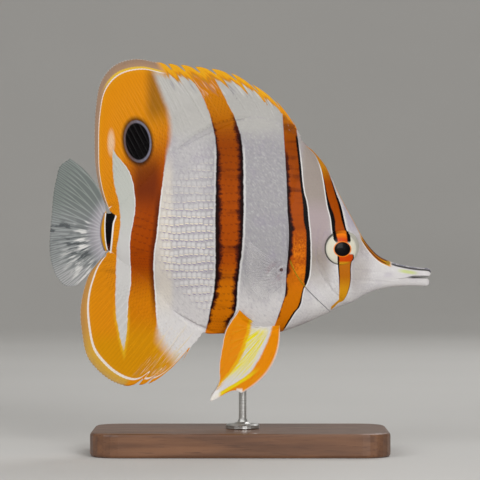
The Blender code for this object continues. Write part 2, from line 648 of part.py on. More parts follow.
def main():
    clear_scene()
    fish = new_collection("copperband_butterflyfish")
    cutters = new_collection("cutters")
    materials = {name: make_material(name) for name in FINISHES}
    torso = make_torso(materials["skin_white"], fish)
    make_tail_stalk(materials["skin_orange"], fish)
    head = make_head(materials["skin_white"], fish)
    make_snout(materials["skin_white"], fish)
    make_lower_jaw(materials["skin_white"], fish)
    make_spiny_dorsal(materials["fin_orange"], fish)
    make_soft_dorsal(materials["fin_orange"], fish)
    make_anal(materials["fin_orange"], fish)
    make_tail(materials["fin_clear"], fish)
    for side_name, side in (("right", -1), ("left", 1)):
        make_eye("eye_" + side_name, side, head, materials, fish, cutters)
        paired_fin(
            "pelvic_fin_" + side_name, PELVIC_RAYS, PELVIC_RAY_COUNT, side, pelvic_out, (0.4, 0.0, 1.0),
            materials["fin_orange"], fish,
        )
        paired_fin(
            "pectoral_fin_" + side_name, PECTORAL_RAYS, PECTORAL_RAY_COUNT, side, pectoral_out, (1.0, 0.0, 0.0),
            materials["fin_clear"], fish,
        )
    make_base(materials["walnut"], fish)
    make_rod(torso, materials, fish, cutters)


main()
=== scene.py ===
"""The looks of a copperband butterflyfish on a plain stand: skin, scales, fins and eyes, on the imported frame.

The fish faces +X and +Z is up. Sizes and places are in millimetres and become metres when a mesh is made.
"""
import math

import bmesh
import bpy
import numpy as np
from mathutils import Matrix, Vector


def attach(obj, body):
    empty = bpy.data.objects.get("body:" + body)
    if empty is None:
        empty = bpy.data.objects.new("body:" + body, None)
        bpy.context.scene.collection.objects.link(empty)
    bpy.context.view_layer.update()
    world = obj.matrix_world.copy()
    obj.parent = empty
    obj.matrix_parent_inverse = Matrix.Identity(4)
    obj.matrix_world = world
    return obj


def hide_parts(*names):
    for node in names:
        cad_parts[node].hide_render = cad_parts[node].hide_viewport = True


bl_info = {
    "name": "Copperband butterflyfish",
    "version": (1, 0, 0),
    "blender": (4, 5, 0),
    "location": "View3D > Sidebar > Butterflyfish",
    "description": "Builds a life-size copperband butterflyfish on a display stand",
    "category": "Object",
}

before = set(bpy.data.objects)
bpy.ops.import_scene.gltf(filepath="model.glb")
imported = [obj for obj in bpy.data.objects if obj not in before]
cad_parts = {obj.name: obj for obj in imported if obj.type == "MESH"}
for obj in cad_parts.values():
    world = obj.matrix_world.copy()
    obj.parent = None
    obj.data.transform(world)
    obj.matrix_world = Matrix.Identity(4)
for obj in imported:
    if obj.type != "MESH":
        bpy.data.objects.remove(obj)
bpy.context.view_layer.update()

MM = 0.001
BODY = "root"

# The body in side view: the top and the bottom of the flesh, without fins, as (x, z) keys.
BACK_LINE = [
    (-59.5, 101.7), (-54.0, 100.2), (-50.0, 104.0), (-42.0, 111.5), (-32.0, 122.8), (-20.0, 133.7),
    (-8.0, 139.6), (2.0, 141.3), (12.0, 140.0), (18.0, 137.0), (25.5, 131.0), (31.0, 126.0),
    (36.5, 119.0), (41.5, 108.5), (47.0, 98.2), (52.0, 89.2), (57.0, 83.3), (63.0, 80.0), (70.0, 78.2),
    (76.0, 77.4), (79.4, 77.2), (80.1, 77.2),
]
BELLY_LINE = [
    (-59.5, 83.8), (-54.0, 84.8), (-50.0, 80.5), (-42.0, 74.9), (-32.0, 63.6), (-20.0, 52.6),
    (-14.0, 50.2), (-8.0, 50.2), (2.0, 50.0), (12.0, 50.1), (18.0, 51.1), (25.5, 53.7), (31.0, 56.0),
    (36.5, 58.5), (41.5, 61.3), (47.0, 63.2), (52.0, 66.1), (57.0, 68.2), (63.0, 69.5), (70.0, 70.0),
    (76.0, 70.0), (79.4, 69.9), (80.1, 69.9),
]

# The body from above: half of its width, and the height of its widest line, as (x, value) keys.
HALF_WIDTH = [
    (-59.5, 2.2), (-53.4, 2.6), (-46.3, 3.6), (-33.7, 6.0), (-16.9, 8.6), (-0.1, 10.2), (12.5, 10.6),
    (25.1, 10.2), (37.7, 8.6), (46.1, 7.0), (54.5, 4.2), (62.9, 2.8), (71.3, 2.2), (78.0, 1.6),
    (80.1, 1.1),
]
WIDEST_LINE = [
    (-59.5, 92.8), (-46.0, 91.8), (0.0, 91.3), (20.0, 86.0), (37.7, 79.5), (60.0, 74.5), (80.1, 73.3),
]
TOP_STRIP = [(-59.5, 1.1), (20.0, 1.1), (30.0, 0.8), (50.0, 0.8), (80.1, 0.5)]
BOTTOM_STRIP = [(-59.5, 1.1), (-14.0, 1.1), (0.0, 0.8), (80.1, 0.5)]
TOP_ROUNDNESS = [
    (-59.5, 0.6), (-54.0, 0.85), (-46.0, 1.25), (14.0, 1.2), (24.0, 0.95), (32.0, 0.72), (40.0, 0.62),
    (60.0, 0.52), (80.1, 0.5),
]
BOTTOM_ROUNDNESS = [
    (-59.5, 0.6), (-54.0, 0.85), (-46.0, 1.25), (-20.0, 1.25), (-10.0, 1.0), (0.0, 0.62), (50.0, 0.58),
    (80.1, 0.5),
]
SECTION_POWER = 2.3
THICKEST_STRIP = 0.8
BODY_MIDDLE_Z = 92.8
MEETING_STEPS = 60
SLOPE_STEP = 0.2

# The gill cover's rear edge as (z, x) keys, from the throat up to the nape, and the flap's relief.
GILL_EDGE = [
    (54.0, 42.5), (60.0, 36.9), (64.0, 32.7), (68.2, 28.5), (72.4, 25.1), (77.4, 22.2), (82.5, 20.5),
    (89.2, 19.6), (97.0, 19.9), (105.0, 21.2), (120.0, 24.4), (134.0, 27.6),
]
GILL_LIFT = 0.45
GILL_LIFT_RUN = 4.0
GILL_GROOVE = 0.18
# How much of the flap shows, as (z, share) keys.
GILL_FADE = [(50.0, 1.0), (88.0, 1.0), (98.0, 0.25), (106.0, 0.0), (140.0, 0.0)]

# The mouth.
SNOUT_X = 55.5
MOUTH_CORNER_X = 66.3
MOUTH_LINE = [(55.5, 71.6), (60.0, 72.2), (66.3, 72.8), (71.3, 73.6), (80.1, 73.6)]
MOUTH_OPEN = [(66.3, 0.1), (70.0, 0.15), (73.0, 0.35), (76.5, 0.55), (80.1, 0.9)]
UPPER_TIP_X = 80.1
LOWER_TIP_X = 79.4
TIP_RUN = 1.7
TIP_END = 0.06
LIP_SWELL = 0.3
LIP_BREADTH = 0.7
LIP_RUN = 4.0

# Eyes and nostrils.
EYE_X, EYE_Z = 42.1, 86.0
EYE_RADIUS = 8.0
EYE_DEPTH_RADIUS = 2.8
EYE_SINK = 1.5
EYE_YAW = math.radians(14.0)
EYE_ROLL = math.radians(4.0)
SOCKET_RADIUS = 6.55
SOCKET_DEPTH = 1.9
NOSTRILS = [(51.2, 84.3), (53.0, 82.7)]
NOSTRIL_RADIUS = 0.5

# The tail stalk's rounded end.
TAIL_ROOT_X = -58.9
TAIL_ROOT_CURVE = 1.7
TAIL_ROOT_HALF_HEIGHT = 8.0
STALK_END_RUN = 2.0


def curve(keys):
    """A smooth function of arrays through (place, value) keys, its slopes drawn from their neighbours."""
    places, values = np.array(keys, float).T
    spans = np.diff(places)
    rises = np.diff(values) / spans
    inner = (rises[:-1] * spans[1:] + rises[1:] * spans[:-1]) / (spans[:-1] + spans[1:])
    slopes = np.concatenate([rises[:1], inner, rises[-1:]])

    def at(place):
        place = np.clip(place, places[0], places[-1])
        k = np.clip(np.searchsorted(places, place) - 1, 0, len(spans) - 1)
        s = (place - places[k]) / spans[k]
        swing = s * (1 - s) * ((1 - s) * (slopes[k] - rises[k]) - s * (slopes[k + 1] - rises[k]))
        return values[k] + (rises[k] * s + swing) * spans[k]

    return at


back_line = curve(BACK_LINE)
belly_line = curve(BELLY_LINE)
widest_half = curve(HALF_WIDTH)
widest_line = curve(WIDEST_LINE)
top_strip = curve(TOP_STRIP)
bottom_strip = curve(BOTTOM_STRIP)
top_roundness = curve(TOP_ROUNDNESS)
bottom_roundness = curve(BOTTOM_ROUNDNESS)
gill_edge = curve(GILL_EDGE)
gill_fade = curve(GILL_FADE)
mouth_line = curve(MOUTH_LINE)
mouth_open = curve(MOUTH_OPEN)


def ease(share):
    share = np.clip(share, 0.0, 1.0)
    return share * share * (3 - 2 * share)


def bump(value, middle, breadth):
    return np.exp(-((value - middle) / breadth) ** 2)


def half_width(x, z):
    """Half of the body's width at points of the side view."""
    middle = widest_line(x)
    above = z >= middle
    share = np.where(above, (z - middle) / (back_line(x) - middle), (middle - z) / (middle - belly_line(x)))
    strip = np.minimum(np.where(above, top_strip(x), bottom_strip(x)), THICKEST_STRIP * widest_half(x))
    roundness = np.where(above, top_roundness(x), bottom_roundness(x))
    full = np.clip(1 - np.clip(share, 0.0, 1.0) ** SECTION_POWER, 0.0, 1.0)
    return strip + (widest_half(x) - strip) * full ** roundness


def eye_frame(side):
    """Where an eye's ball sits and how it is turned to lie in the side of the head."""
    depth = float(half_width(EYE_X, EYE_Z)) - EYE_SINK
    turn = Matrix.Rotation(-side * EYE_YAW, 4, "Z") @ Matrix.Rotation(side * EYE_ROLL, 4, "X")
    return Matrix.Translation((EYE_X, side * depth, EYE_Z)) @ turn


def relief(x, z, past_edge):
    """How far the skin stands out of the plain body: gill flap, cheek, eye socket, nostrils and lips."""
    fullness = np.clip(half_width(x, z) / widest_half(x), 0.0, 1.0)
    flap = np.where(past_edge >= 0, GILL_LIFT * (1 - ease(past_edge / GILL_LIFT_RUN)), 0.0)
    groove = GILL_GROOVE * bump(past_edge, -0.35, 0.4) * (past_edge < 0)
    out = (flap - groove) * gill_fade(z) * fullness
    # The front cover's ridge, which curves down behind the eye and forward under the cheek.
    ridge_x = 33.0 + 0.028 * (z - 84.0) ** 2 * (z < 84.0) + 0.012 * (z - 84.0) ** 2 * (z >= 84.0)
    ridge = 0.25 * bump(x, ridge_x, 0.9) - 0.18 * bump(x, ridge_x - 1.5, 0.7)
    out = out + ridge * ease((z - 62.0) / 6.0) * (1 - ease((z - 90.0) / 8.0)) * fullness
    # Shallow folds from the mouth's corner back under the eye.
    for start_z, slope, depth in ((71.8, 0.16, 0.13), (75.5, 0.30, 0.1)):
        fold = bump(z, start_z + slope * (58.0 - x) * 0.5, 0.55)
        out = out - depth * fold * ease((x - 44.0) / 4.0) * (1 - ease((x - 60.0) / 6.0))
    # The forehead's ridge in front of the eye, and the bone over the eye.
    brow = bump(np.hypot(x - EYE_X, z - EYE_Z), SOCKET_RADIUS + 1.0, 0.8)
    out = out + 0.26 * brow * ease((z - EYE_Z + 6.0) / 8.0)
    out = out - 0.22 * bump(np.hypot(x - EYE_X, z - EYE_Z), SOCKET_RADIUS + 0.25, 0.35)
    away = np.hypot(x - EYE_X, z - EYE_Z)
    out = out - SOCKET_DEPTH * (1 - ease((away - SOCKET_RADIUS + 1.0) / 1.2))
    for nostril_x, nostril_z in NOSTRILS:
        pit = np.hypot(x - nostril_x, z - nostril_z)
        out = out - 0.55 * bump(pit, 0.0, NOSTRIL_RADIUS) + 0.16 * bump(pit, 2 * NOSTRIL_RADIUS, 0.3)
    lip = bump(z, mouth_line(x), LIP_BREADTH) * ease((x - MOUTH_CORNER_X) / LIP_RUN)
    crease = 0.12 * bump(z, mouth_line(x), 0.25) * ease((x - 60.0) / 5.0) * (1 - ease((x - 69.0) / 2.0))
    return out + LIP_SWELL * lip - crease


def grid_faces(columns, rows, first=0, closed=False):
    """Quads over a grid of points kept column by column, its last column joined to the first if closed."""
    i = np.arange(columns if closed else columns - 1)[:, None]
    j = np.arange(rows - 1)[None, :]
    after = (i + 1) % columns
    quads = np.stack([i * rows + j, after * rows + j, after * rows + j + 1, i * rows + j + 1], axis=-1)
    return quads.reshape(-1, 4) + first


def make_piece(name, points, faces, material, replaced=(), attributes=None, uv=None):
    """A finished piece from points in millimetres: it rides on the body and stands for CAD nodes."""
    mesh = bpy.data.meshes.new(name)
    mesh.from_pydata(np.asarray(points) * MM, [], faces if isinstance(faces, list) else faces.tolist())
    for label, values in (attributes or {}).items():
        layer = mesh.attributes.new(label, "FLOAT", "POINT")
        layer.data.foreach_set("value", np.asarray(values, np.float32).ravel())
    if uv is not None:
        corners = np.empty(len(mesh.loops), np.int32)
        mesh.loops.foreach_get("vertex_index", corners)
        layer = mesh.uv_layers.new(name="OFBake")
        layer.data.foreach_set("uv", np.asarray(uv, np.float32)[corners].ravel())
    mesh.materials.append(material)
    mesh.shade_smooth()
    mesh.update()
    piece = bpy.data.objects.new(name, mesh)
    bpy.context.scene.collection.objects.link(piece)
    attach(piece, BODY)
    if replaced:
        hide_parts(*replaced)
    return piece


# The skin's mesh: rows along the body, and stations across it that crowd at the gill cover's edge.
UPPER_ROWS = 104
LOWER_ROWS = 52
REAR_STATIONS = 92
FRONT_STATIONS = 74
SNOUT_STATIONS = 20
JAW_STATIONS = 30
NEAR_EDGE = [0.0, 0.05, 0.15, 0.3, 0.5, 0.8, 1.2, 1.8]
FLAP_STEP = 0.05
MOUTH_LEVEL = 0.23
DOME = 0.3
PALATE_ARCH = 0.45


def tail_root_x(z):
    """The rounded end of the tail stalk, from which the tail fin grows."""
    return TAIL_ROOT_X + TAIL_ROOT_CURVE * ((z - BODY_MIDDLE_Z) / TAIL_ROOT_HALF_HEIGHT) ** 2


def mouth_row_z(x):
    """The height of the row of points that becomes the mouth further forward."""
    plain = belly_line(x) + (back_line(x) - belly_line(x)) * MOUTH_LEVEL
    return np.where(x < SNOUT_X, plain, mouth_line(x))


def row_height(x, level):
    """The height of a row at x: its level is -1 at the belly, 0 at the mouth and 1 at the back."""
    gap = mouth_open(x) / 2
    above = mouth_row_z(x) + gap
    below = mouth_row_z(x) - gap
    upper = above + (back_line(x) - above) * level
    lower = below + (below - belly_line(x)) * level
    return np.where(level > 0, upper, lower)


def row_meets(edge, level):
    """The x at which each row crosses an edge of the side view given as x = edge(z)."""
    x = edge(np.full_like(level, BODY_MIDDLE_Z))
    for _ in range(MEETING_STEPS):
        x = 0.5 * (x + edge(row_height(x, level)))
    return x


def spaced(length, count):
    """Distances from the gill edge: fixed ones close to it, and from there on even shares of the row."""
    near = np.array(NEAR_EDGE)[:, None] * np.ones_like(length)
    shares = np.linspace(0.0, 1.0, count - len(NEAR_EDGE) + 1)[1:, None]
    return np.vstack([near, NEAR_EDGE[-1] + (length - NEAR_EDGE[-1]) * shares])


def skin_stations(level):
    """The x of every point and its distance past the gill edge, as arrays of stations by rows."""
    gill_x = row_meets(gill_edge, level)
    tail_x = row_meets(tail_root_x, level)
    behind = spaced(gill_x - tail_x - FLAP_STEP, REAR_STATIONS)[::-1] + FLAP_STEP
    ahead = spaced(SNOUT_X - gill_x, FRONT_STATIONS)
    snout = np.linspace(SNOUT_X, MOUTH_CORNER_X, SNOUT_STATIONS + 1)[1:, None] + 0 * level
    tip = np.where(level > 0, UPPER_TIP_X, LOWER_TIP_X)
    jaw_shares = np.sin(0.5 * math.pi * np.linspace(0.0, 1.0, JAW_STATIONS + 1)[1:, None])
    jaws = MOUTH_CORNER_X + (tip - MOUTH_CORNER_X) * jaw_shares
    x = np.vstack([gill_x - behind, gill_x + ahead, snout, jaws])
    return x, np.vstack([-behind, ahead, x[REAR_STATIONS + FRONT_STATIONS:] - gill_x])


def tip_rounding(x, level):
    """How much of its size a jaw's section keeps as it closes to the tip."""
    tip = np.where(level > 0, UPPER_TIP_X, LOWER_TIP_X)
    left = np.clip((tip - x) / TIP_RUN, 0.0, 1.0)
    return np.maximum(np.sqrt(np.clip(1 - (1 - left) ** 2, 0.0, 1.0)), TIP_END)


def jaw_middle(x, outline, sign):
    """Half way between a jaw's lip and its outer line."""
    return (outline(x) + mouth_line(x) + sign * mouth_open(x) / 2) / 2


def top_outline(x):
    """The upper outline of head and snout, rounded at the upper jaw's tip."""
    middle = jaw_middle(x, back_line, 1.0)
    rounded = middle + (back_line(x) - middle) * tip_rounding(x, 1.0)
    return np.where(x > MOUTH_CORNER_X, rounded, back_line(x))


def skin_profile():
    """The right half of every section from the top's middle to the bottom's: arrays of stations by points."""
    upper = np.sin(0.5 * math.pi * np.linspace(1.0, 0.0, UPPER_ROWS + 1))
    upper[-1] = 1e-9
    lower = -np.sin(0.5 * math.pi * np.linspace(0.0, 1.0, LOWER_ROWS + 1))
    level = np.concatenate([upper, lower])
    x, past_edge = skin_stations(level)
    z = row_height(x, level)
    y = half_width(x, z) + relief(x, z, past_edge)
    stalk = ease((x - tail_root_x(z)) / STALK_END_RUN)
    y = 0.9 + (y - 0.9) * stalk
    rounding = tip_rounding(x, level)
    middle = np.where(level > 0, jaw_middle(x, back_line, 1.0), jaw_middle(x, belly_line, -1.0))
    in_jaws = x > MOUTH_CORNER_X
    z = np.where(in_jaws, middle + (z - middle) * rounding, z)
    y = np.where(in_jaws, y * rounding, y)

    def crown(edge, sign):
        """The two points that round the section off over its edge: half way in, and the middle."""
        strip = y[:, edge:edge + 1]
        dome = DOME * np.minimum(strip, 1.0) * sign
        inner_z = z[:, edge:edge + 1] + np.hstack([dome, 0.75 * dome])
        return np.repeat(x[:, edge:edge + 1], 2, 1), np.hstack([0 * strip, 0.5 * strip]), inner_z

    top = crown(0, 1.0)
    bottom = [part[:, ::-1] for part in crown(len(level) - 1, -1.0)]
    return [np.hstack([a, b, c]) for a, b, c in zip(top, (x, y, z), bottom)]


def skin_mesh():
    """The points and faces of the closed skin, open at the mouth between the jaws."""
    x, y, z = skin_profile()
    stations, count = x.shape
    upper_lip = 2 + UPPER_ROWS
    lower_lip = upper_lip + 1
    corner = REAR_STATIONS + FRONT_STATIONS + SNOUT_STATIONS - 1
    right_points = np.stack([x, -y, z], axis=-1).reshape(-1, 3)
    left_points = np.stack([x, y, z], axis=-1)[:, 1:-1].reshape(-1, 3)
    right = np.arange(stations * count).reshape(stations, count)
    left = right.copy()
    left[:, 1:-1] = stations * count + np.arange(stations * (count - 2)).reshape(stations, count - 2)
    points = [right_points, left_points]
    total = stations * count + stations * (count - 2)
    faces = []
    for side in (right, left):
        quads = np.stack([side[:-1, :-1], side[1:, :-1], side[1:, 1:], side[:-1, 1:]], axis=-1)
        keep = np.ones(quads.shape[:2], bool)
        keep[corner:, upper_lip] = False
        faces += quads[keep].tolist()
    middles = []
    for lip, arch in ((upper_lip, PALATE_ARCH), (lower_lip, -PALATE_ARCH)):
        ends = np.full(stations - corner, 1.0 if lip == upper_lip else -1.0)
        rounded = tip_rounding(x[corner:, lip], ends)
        lip_z = z[corner:, lip]
        inner_z = lip_z + arch * rounded * ease(np.arange(len(lip_z)) / 4)
        inner = np.stack([x[corner:, lip], 0 * lip_z, inner_z], axis=-1)
        middles.append(total + np.arange(len(inner)))
        points.append(inner)
        total += len(inner)
        for side in (right, left):
            rim = side[corner:, lip]
            quads = np.stack([rim[:-1], rim[1:], middles[-1][1:], middles[-1][:-1]], axis=-1)
            faces += quads.tolist()
    palate, floor = middles
    for side in (right, left):
        corners = (side[corner, upper_lip], side[corner, lower_lip], floor[0], palate[0])
        faces.append([int(index) for index in corners])
    loops = [
        list(right[-1, : upper_lip + 1]) + [palate[-1]] + list(left[-1, 1: upper_lip + 1][::-1]),
        [floor[-1]] + list(right[-1, lower_lip:]) + list(left[-1, lower_lip:-1][::-1]),
        list(right[0]) + list(left[0, 1:-1][::-1]),
    ]
    gathered = np.vstack(points)
    caps = []
    for loop in loops:
        caps.append(gathered[loop].mean(axis=0))
        middle = total
        total += 1
        faces += [[int(a), int(b), middle] for a, b in zip(loop, loop[1:] + loop[:1])]
    return np.vstack([gathered, caps]), faces


def turn_outwards(piece):
    """Turns every face of a closed piece to point out of it."""
    shaped = bmesh.new()
    shaped.from_mesh(piece.data)
    bmesh.ops.recalc_face_normals(shaped, faces=shaped.faces)
    shaped.to_mesh(piece.data)
    shaped.free()


def make_skin(material):
    points, faces = skin_mesh()
    flesh = ("torso", "tail_stalk", "head", "snout", "lower_jaw")
    turn_outwards(make_piece("skin", points, faces, material, flesh))


# The bands in side view, as (z, x) keys: each one's rear and front edge, and the black's breadth inside them.
EYE_BAND_REAR = [
    (63.2, 41.2), (72.0, 41.2), (79.1, 40.7), (82.1, 40.7), (86.0, 39.8), (89.5, 38.9), (93.8, 38.3),
    (97.5, 37.9), (103.4, 36.5), (109.3, 35.6), (114.0, 34.9), (120.0, 33.6), (127.8, 28.5),
]
EYE_BAND_FRONT = [
    (63.2, 41.9), (64.3, 43.5), (68.2, 45.3), (72.0, 46.1), (79.1, 46.3), (82.1, 47.2), (85.0, 46.9),
    (89.5, 46.1), (93.8, 44.3), (97.5, 43.5), (103.4, 42.2), (109.3, 40.0), (114.0, 38.4),
    (122.0, 34.9), (127.8, 28.9),
]
EYE_BLACK_REAR = [
    (68.0, 0.0), (75.8, 0.5), (82.0, 0.7), (89.5, 1.6), (93.8, 1.4), (97.5, 1.7), (103.4, 1.2),
    (109.3, 0.5), (118.0, 0.0),
]
EYE_BLACK_FRONT = [
    (64.0, 0.0), (75.8, 0.35), (85.0, 0.3), (89.5, 1.8), (93.8, 0.8), (97.5, 1.1), (103.4, 1.1),
    (109.3, 0.6), (120.0, 0.0),
]
BAND_TWO_REAR = [
    (51.0, 13.5), (59.0, 16.3), (62.7, 17.5), (68.1, 18.8), (76.1, 19.2), (86.9, 20.1), (92.2, 20.2),
    (103.4, 19.6), (110.9, 19.4), (121.6, 18.9), (143.8, 17.6),
]
BAND_TWO_FRONT = [
    (51.0, 18.0), (54.8, 20.3), (59.0, 22.9), (62.7, 25.3), (68.1, 26.3), (71.9, 28.0), (76.1, 29.0),
    (86.0, 29.3), (92.2, 29.0), (97.0, 28.5), (103.4, 27.9), (110.9, 26.3), (121.6, 25.3),
    (133.0, 24.0), (143.8, 22.2),
]
BLACK_TWO_REAR = [
    (53.5, 0.0), (67.8, 0.3), (84.6, 0.9), (92.2, 1.1), (103.4, 0.8), (121.6, 0.7), (129.0, 0.0),
]
BLACK_TWO_FRONT = [
    (51.4, 0.0), (54.8, 0.8), (62.7, 0.8), (68.1, 0.5), (71.9, 1.5), (76.1, 1.9), (86.7, 1.8),
    (92.2, 1.6), (97.0, 2.0), (103.4, 1.8), (110.9, 1.1), (121.6, 1.0), (131.0, 0.9), (137.0, 0.0),
]
BAND_THREE_REAR = [
    (48.9, -15.2), (55.0, -13.6), (61.5, -12.3), (68.2, -11.0), (78.3, -10.3), (94.4, -10.4),
    (110.5, -10.2), (126.6, -10.1), (137.3, -11.7), (145.3, -14.1), (154.3, -18.6),
]
BAND_THREE_FRONT = [
    (48.9, -7.2), (55.0, -4.6), (61.5, -1.6), (68.2, -1.2), (78.3, -0.2), (83.7, 0.6), (94.4, 1.2),
    (110.5, 1.4), (126.6, 1.0), (137.3, -1.2), (145.3, -4.7), (154.3, -9.3),
]
BLACK_THREE_REAR = [
    (52.7, 0.0), (62.3, 1.0), (73.0, 1.7), (83.7, 2.1), (94.4, 2.2), (110.5, 1.4), (126.6, 0.9),
    (137.5, 0.0),
]
BLACK_THREE_FRONT = [
    (52.7, 0.0), (57.3, 1.0), (83.7, 1.6), (94.4, 1.8), (110.5, 1.6), (126.6, 1.6), (137.3, 0.8),
    (144.0, 0.0),
]
REAR_ORANGE_FRONT = [
    (30.0, -24.0), (36.0, -26.0), (40.0, -28.5), (44.0, -31.6), (48.0, -33.8), (54.0, -35.0),
    (62.3, -35.5), (78.5, -36.4), (83.7, -36.1), (91.8, -34.9), (102.5, -33.9), (113.2, -32.6),
    (123.9, -31.2), (134.6, -29.4), (142.1, -30.2), (147.6, -32.0), (155.6, -35.0), (164.0, -37.9),
]
WEDGE_FRONT = [
    (42.6, -48.9), (51.8, -47.6), (62.3, -47.1), (73.2, -45.9), (83.7, -46.2), (89.1, -46.1),
    (97.1, -44.7), (102.5, -44.0), (110.5, -44.5), (115.9, -45.8), (121.2, -48.9), (125.5, -52.4),
    (127.8, -53.6),
]
WEDGE_REAR = [
    (42.6, -49.0), (51.8, -51.1), (62.3, -52.4), (73.2, -52.2), (83.7, -51.9), (91.8, -50.7),
    (97.1, -50.3), (102.5, -50.6), (110.5, -52.4), (121.2, -53.6), (127.8, -53.5),
]
BAR_REAR = [(84.5, -54.8), (87.0, -55.9), (92.0, -56.4), (98.0, -56.4), (102.0, -55.5)]
BAR_FRONT = [(84.5, -54.7), (87.0, -54.4), (92.0, -53.9), (96.0, -53.5), (99.4, -52.5), (102.0, -52.3)]
PELVIC_WHITE_REAR = [(25.0, -12.0), (31.7, -5.6), (37.0, -1.6), (47.2, 2.8), (54.0, 4.6)]
PELVIC_WHITE_FRONT = [
    (25.0, -10.0), (27.1, -6.4), (30.7, -0.4), (34.0, 4.1), (39.1, 7.7), (47.2, 11.6), (54.0, 13.8),
]

# The false eye on the rear of the dorsal fin.
FALSE_EYE_X, FALSE_EYE_Z = -43.1, 130.6
FALSE_EYE_HALF_LENGTH, FALSE_EYE_HALF_HEIGHT = 4.95, 7.7
FALSE_EYE_TILT = math.radians(8.0)

# The upper jaw's green tint, and the dark spot at the pectoral fin's root.
GREEN_X, GREEN_Z, GREEN_FALL = 66.8, 76.35, 0.148
AXIL_X, AXIL_Z = 17.1, 76.8

PUPIL_X, PUPIL_Z = 42.6, 85.4
PUPIL_RADIUS = 3.1


def linear(red, green, blue):
    """A linear colour from the 0 to 255 values that a screen shows."""
    shares = [part / 255 for part in (red, green, blue)]
    return tuple(s / 12.92 if s <= 0.04045 else ((s + 0.055) / 1.055) ** 2.4 for s in shares) + (1.0,)


# The colours: the red, green and blue that a screen shows, and where each one is.
COLORS = {
    "white": (200, 197, 197, "Silvery ground of the face, belly and rear flank"),
    "flank": (151, 149, 152, "Greyer ground of the middle of the flank"),
    "nape": (142, 130, 121, "Ground between the eye band and the second band"),
    "mauve": (172, 156, 162, "Tint on nape, cheek and behind the pectoral fin"),
    "field": (176, 174, 168, "Ground of the spiny dorsal fin"),
    # Line is also painted light on each scale's free part and on the lower head.
    "line": (222, 220, 218, "Bright lines along the bands and the fins"),
    # Lilac is partly a tint and partly painted shade, in the gaps between the scale rows, round each scale's
    # rim and in the skin's fine grain.
    "lilac": (150, 140, 162, "Gaps between the scale rows"),
    # Cream is partly a pale tint and partly a painted highlight above each gap between the scale rows.
    "cream": (222, 212, 192, "Bright line over each gap"),
    "wedge": (179, 181, 175, "White wedge behind the rear band"),
    "orange_low": (196, 108, 2, "Bands near the belly"),
    "orange_middle": (158, 68, 2, "Bands at mid height"),
    "orange_high": (138, 60, 2, "Bands under the dorsal fin"),
    "orange_bright": (224, 122, 8, "Glow in the second band over the gill cover"),
    "orange_top": (206, 130, 8, "Bands on the dorsal fin"),
    "rear_brown": (152, 62, 2, "Middle of the rear band"),
    "fin_orange": (208, 130, 12, "Soft dorsal fin"),
    "anal_orange": (200, 134, 5, "Anal fin"),
    "pelvic_orange": (214, 128, 2, "Pelvic fins"),
    "haze": (134, 88, 20, "Tan front of the soft dorsal fin"),
    # Maroon is also painted shade along the lower edge of each scale inside the bands.
    "maroon": (64, 20, 10, "Ragged inner edges of the bands"),
    "black": (5, 3, 4, "Black edges, false eye, tail bar and pupils"),
    "ring": (112, 110, 124, "Ring of the false eye, and fine grey lines"),
    "gold": (204, 142, 22, "Foot of the eye band, ridge of the snout and root of the tail"),
    "gill_line": (184, 146, 34, "Bright line of the gill cover's edge"),
    "olive": (150, 118, 40, "Spot at the end of the snout's ridge, and flecks in the iris"),
    "green": (184, 196, 108, "Tint on the upper jaw"),
    "rim": (158, 128, 104, "Thin margins of the dorsal and anal fins"),
    "yellow": (222, 182, 40, "Pelvic rays and fin edges"),
    "lemon": (218, 204, 20, "Rays in the white of the pelvic fins"),
    "blush": (150, 112, 122, "Streaks behind the pectoral fin's root"),
    "tail": (140, 144, 144, "Tail fin"),
    "tail_dark": (70, 75, 78, "Dark streaks of the tail fin"),
    "tail_green": (110, 120, 114, "Upper half of the tail fin"),
    "ivory": (194, 195, 180, "Iris"),
    "iris_red": (196, 66, 4, "Band across the iris, next to the pupil"),
    "iris_orange": (226, 120, 18, "Ring of the pupil, and top of the band across the iris"),
    "walnut": (122, 82, 54, "Light grain of the base"),
    "walnut_dark": (70, 42, 26, "Dark grain of the base"),
    "steel": (205, 205, 202, "Bright lines of the rod"),
    "steel_dark": (172, 172, 170, "Dull lines of the rod"),
    "stage": (206, 205, 203, "Stage"),
    "stage_dark": (199, 198, 196, "Clouds on the stage"),
    "daylight": (226, 224, 220, "Light from all round"),
}


def tint(name):
    """A colour as the sidebar has it."""
    return tuple(getattr(bpy.context.scene.butterflyfish_colors, name))


class Value:
    """One output of a shader node. Arithmetic on it adds Math nodes to its tree."""

    def __init__(self, paint, socket):
        self.paint = paint
        self.socket = socket

    def math(self, operation, *terms):
        return self.paint.node("ShaderNodeMath", {"operation": operation}, dict(enumerate(terms)))

    def __add__(self, other):
        return self.math("ADD", self, other)

    def __radd__(self, other):
        return self.math("ADD", other, self)

    def __sub__(self, other):
        return self.math("SUBTRACT", self, other)

    def __rsub__(self, other):
        return self.math("SUBTRACT", other, self)

    def __mul__(self, other):
        return self.math("MULTIPLY", self, other)

    def __rmul__(self, other):
        return self.math("MULTIPLY", other, self)

    def __truediv__(self, other):
        return self.math("DIVIDE", self, other)

    def __abs__(self):
        return self.math("ABSOLUTE", self)


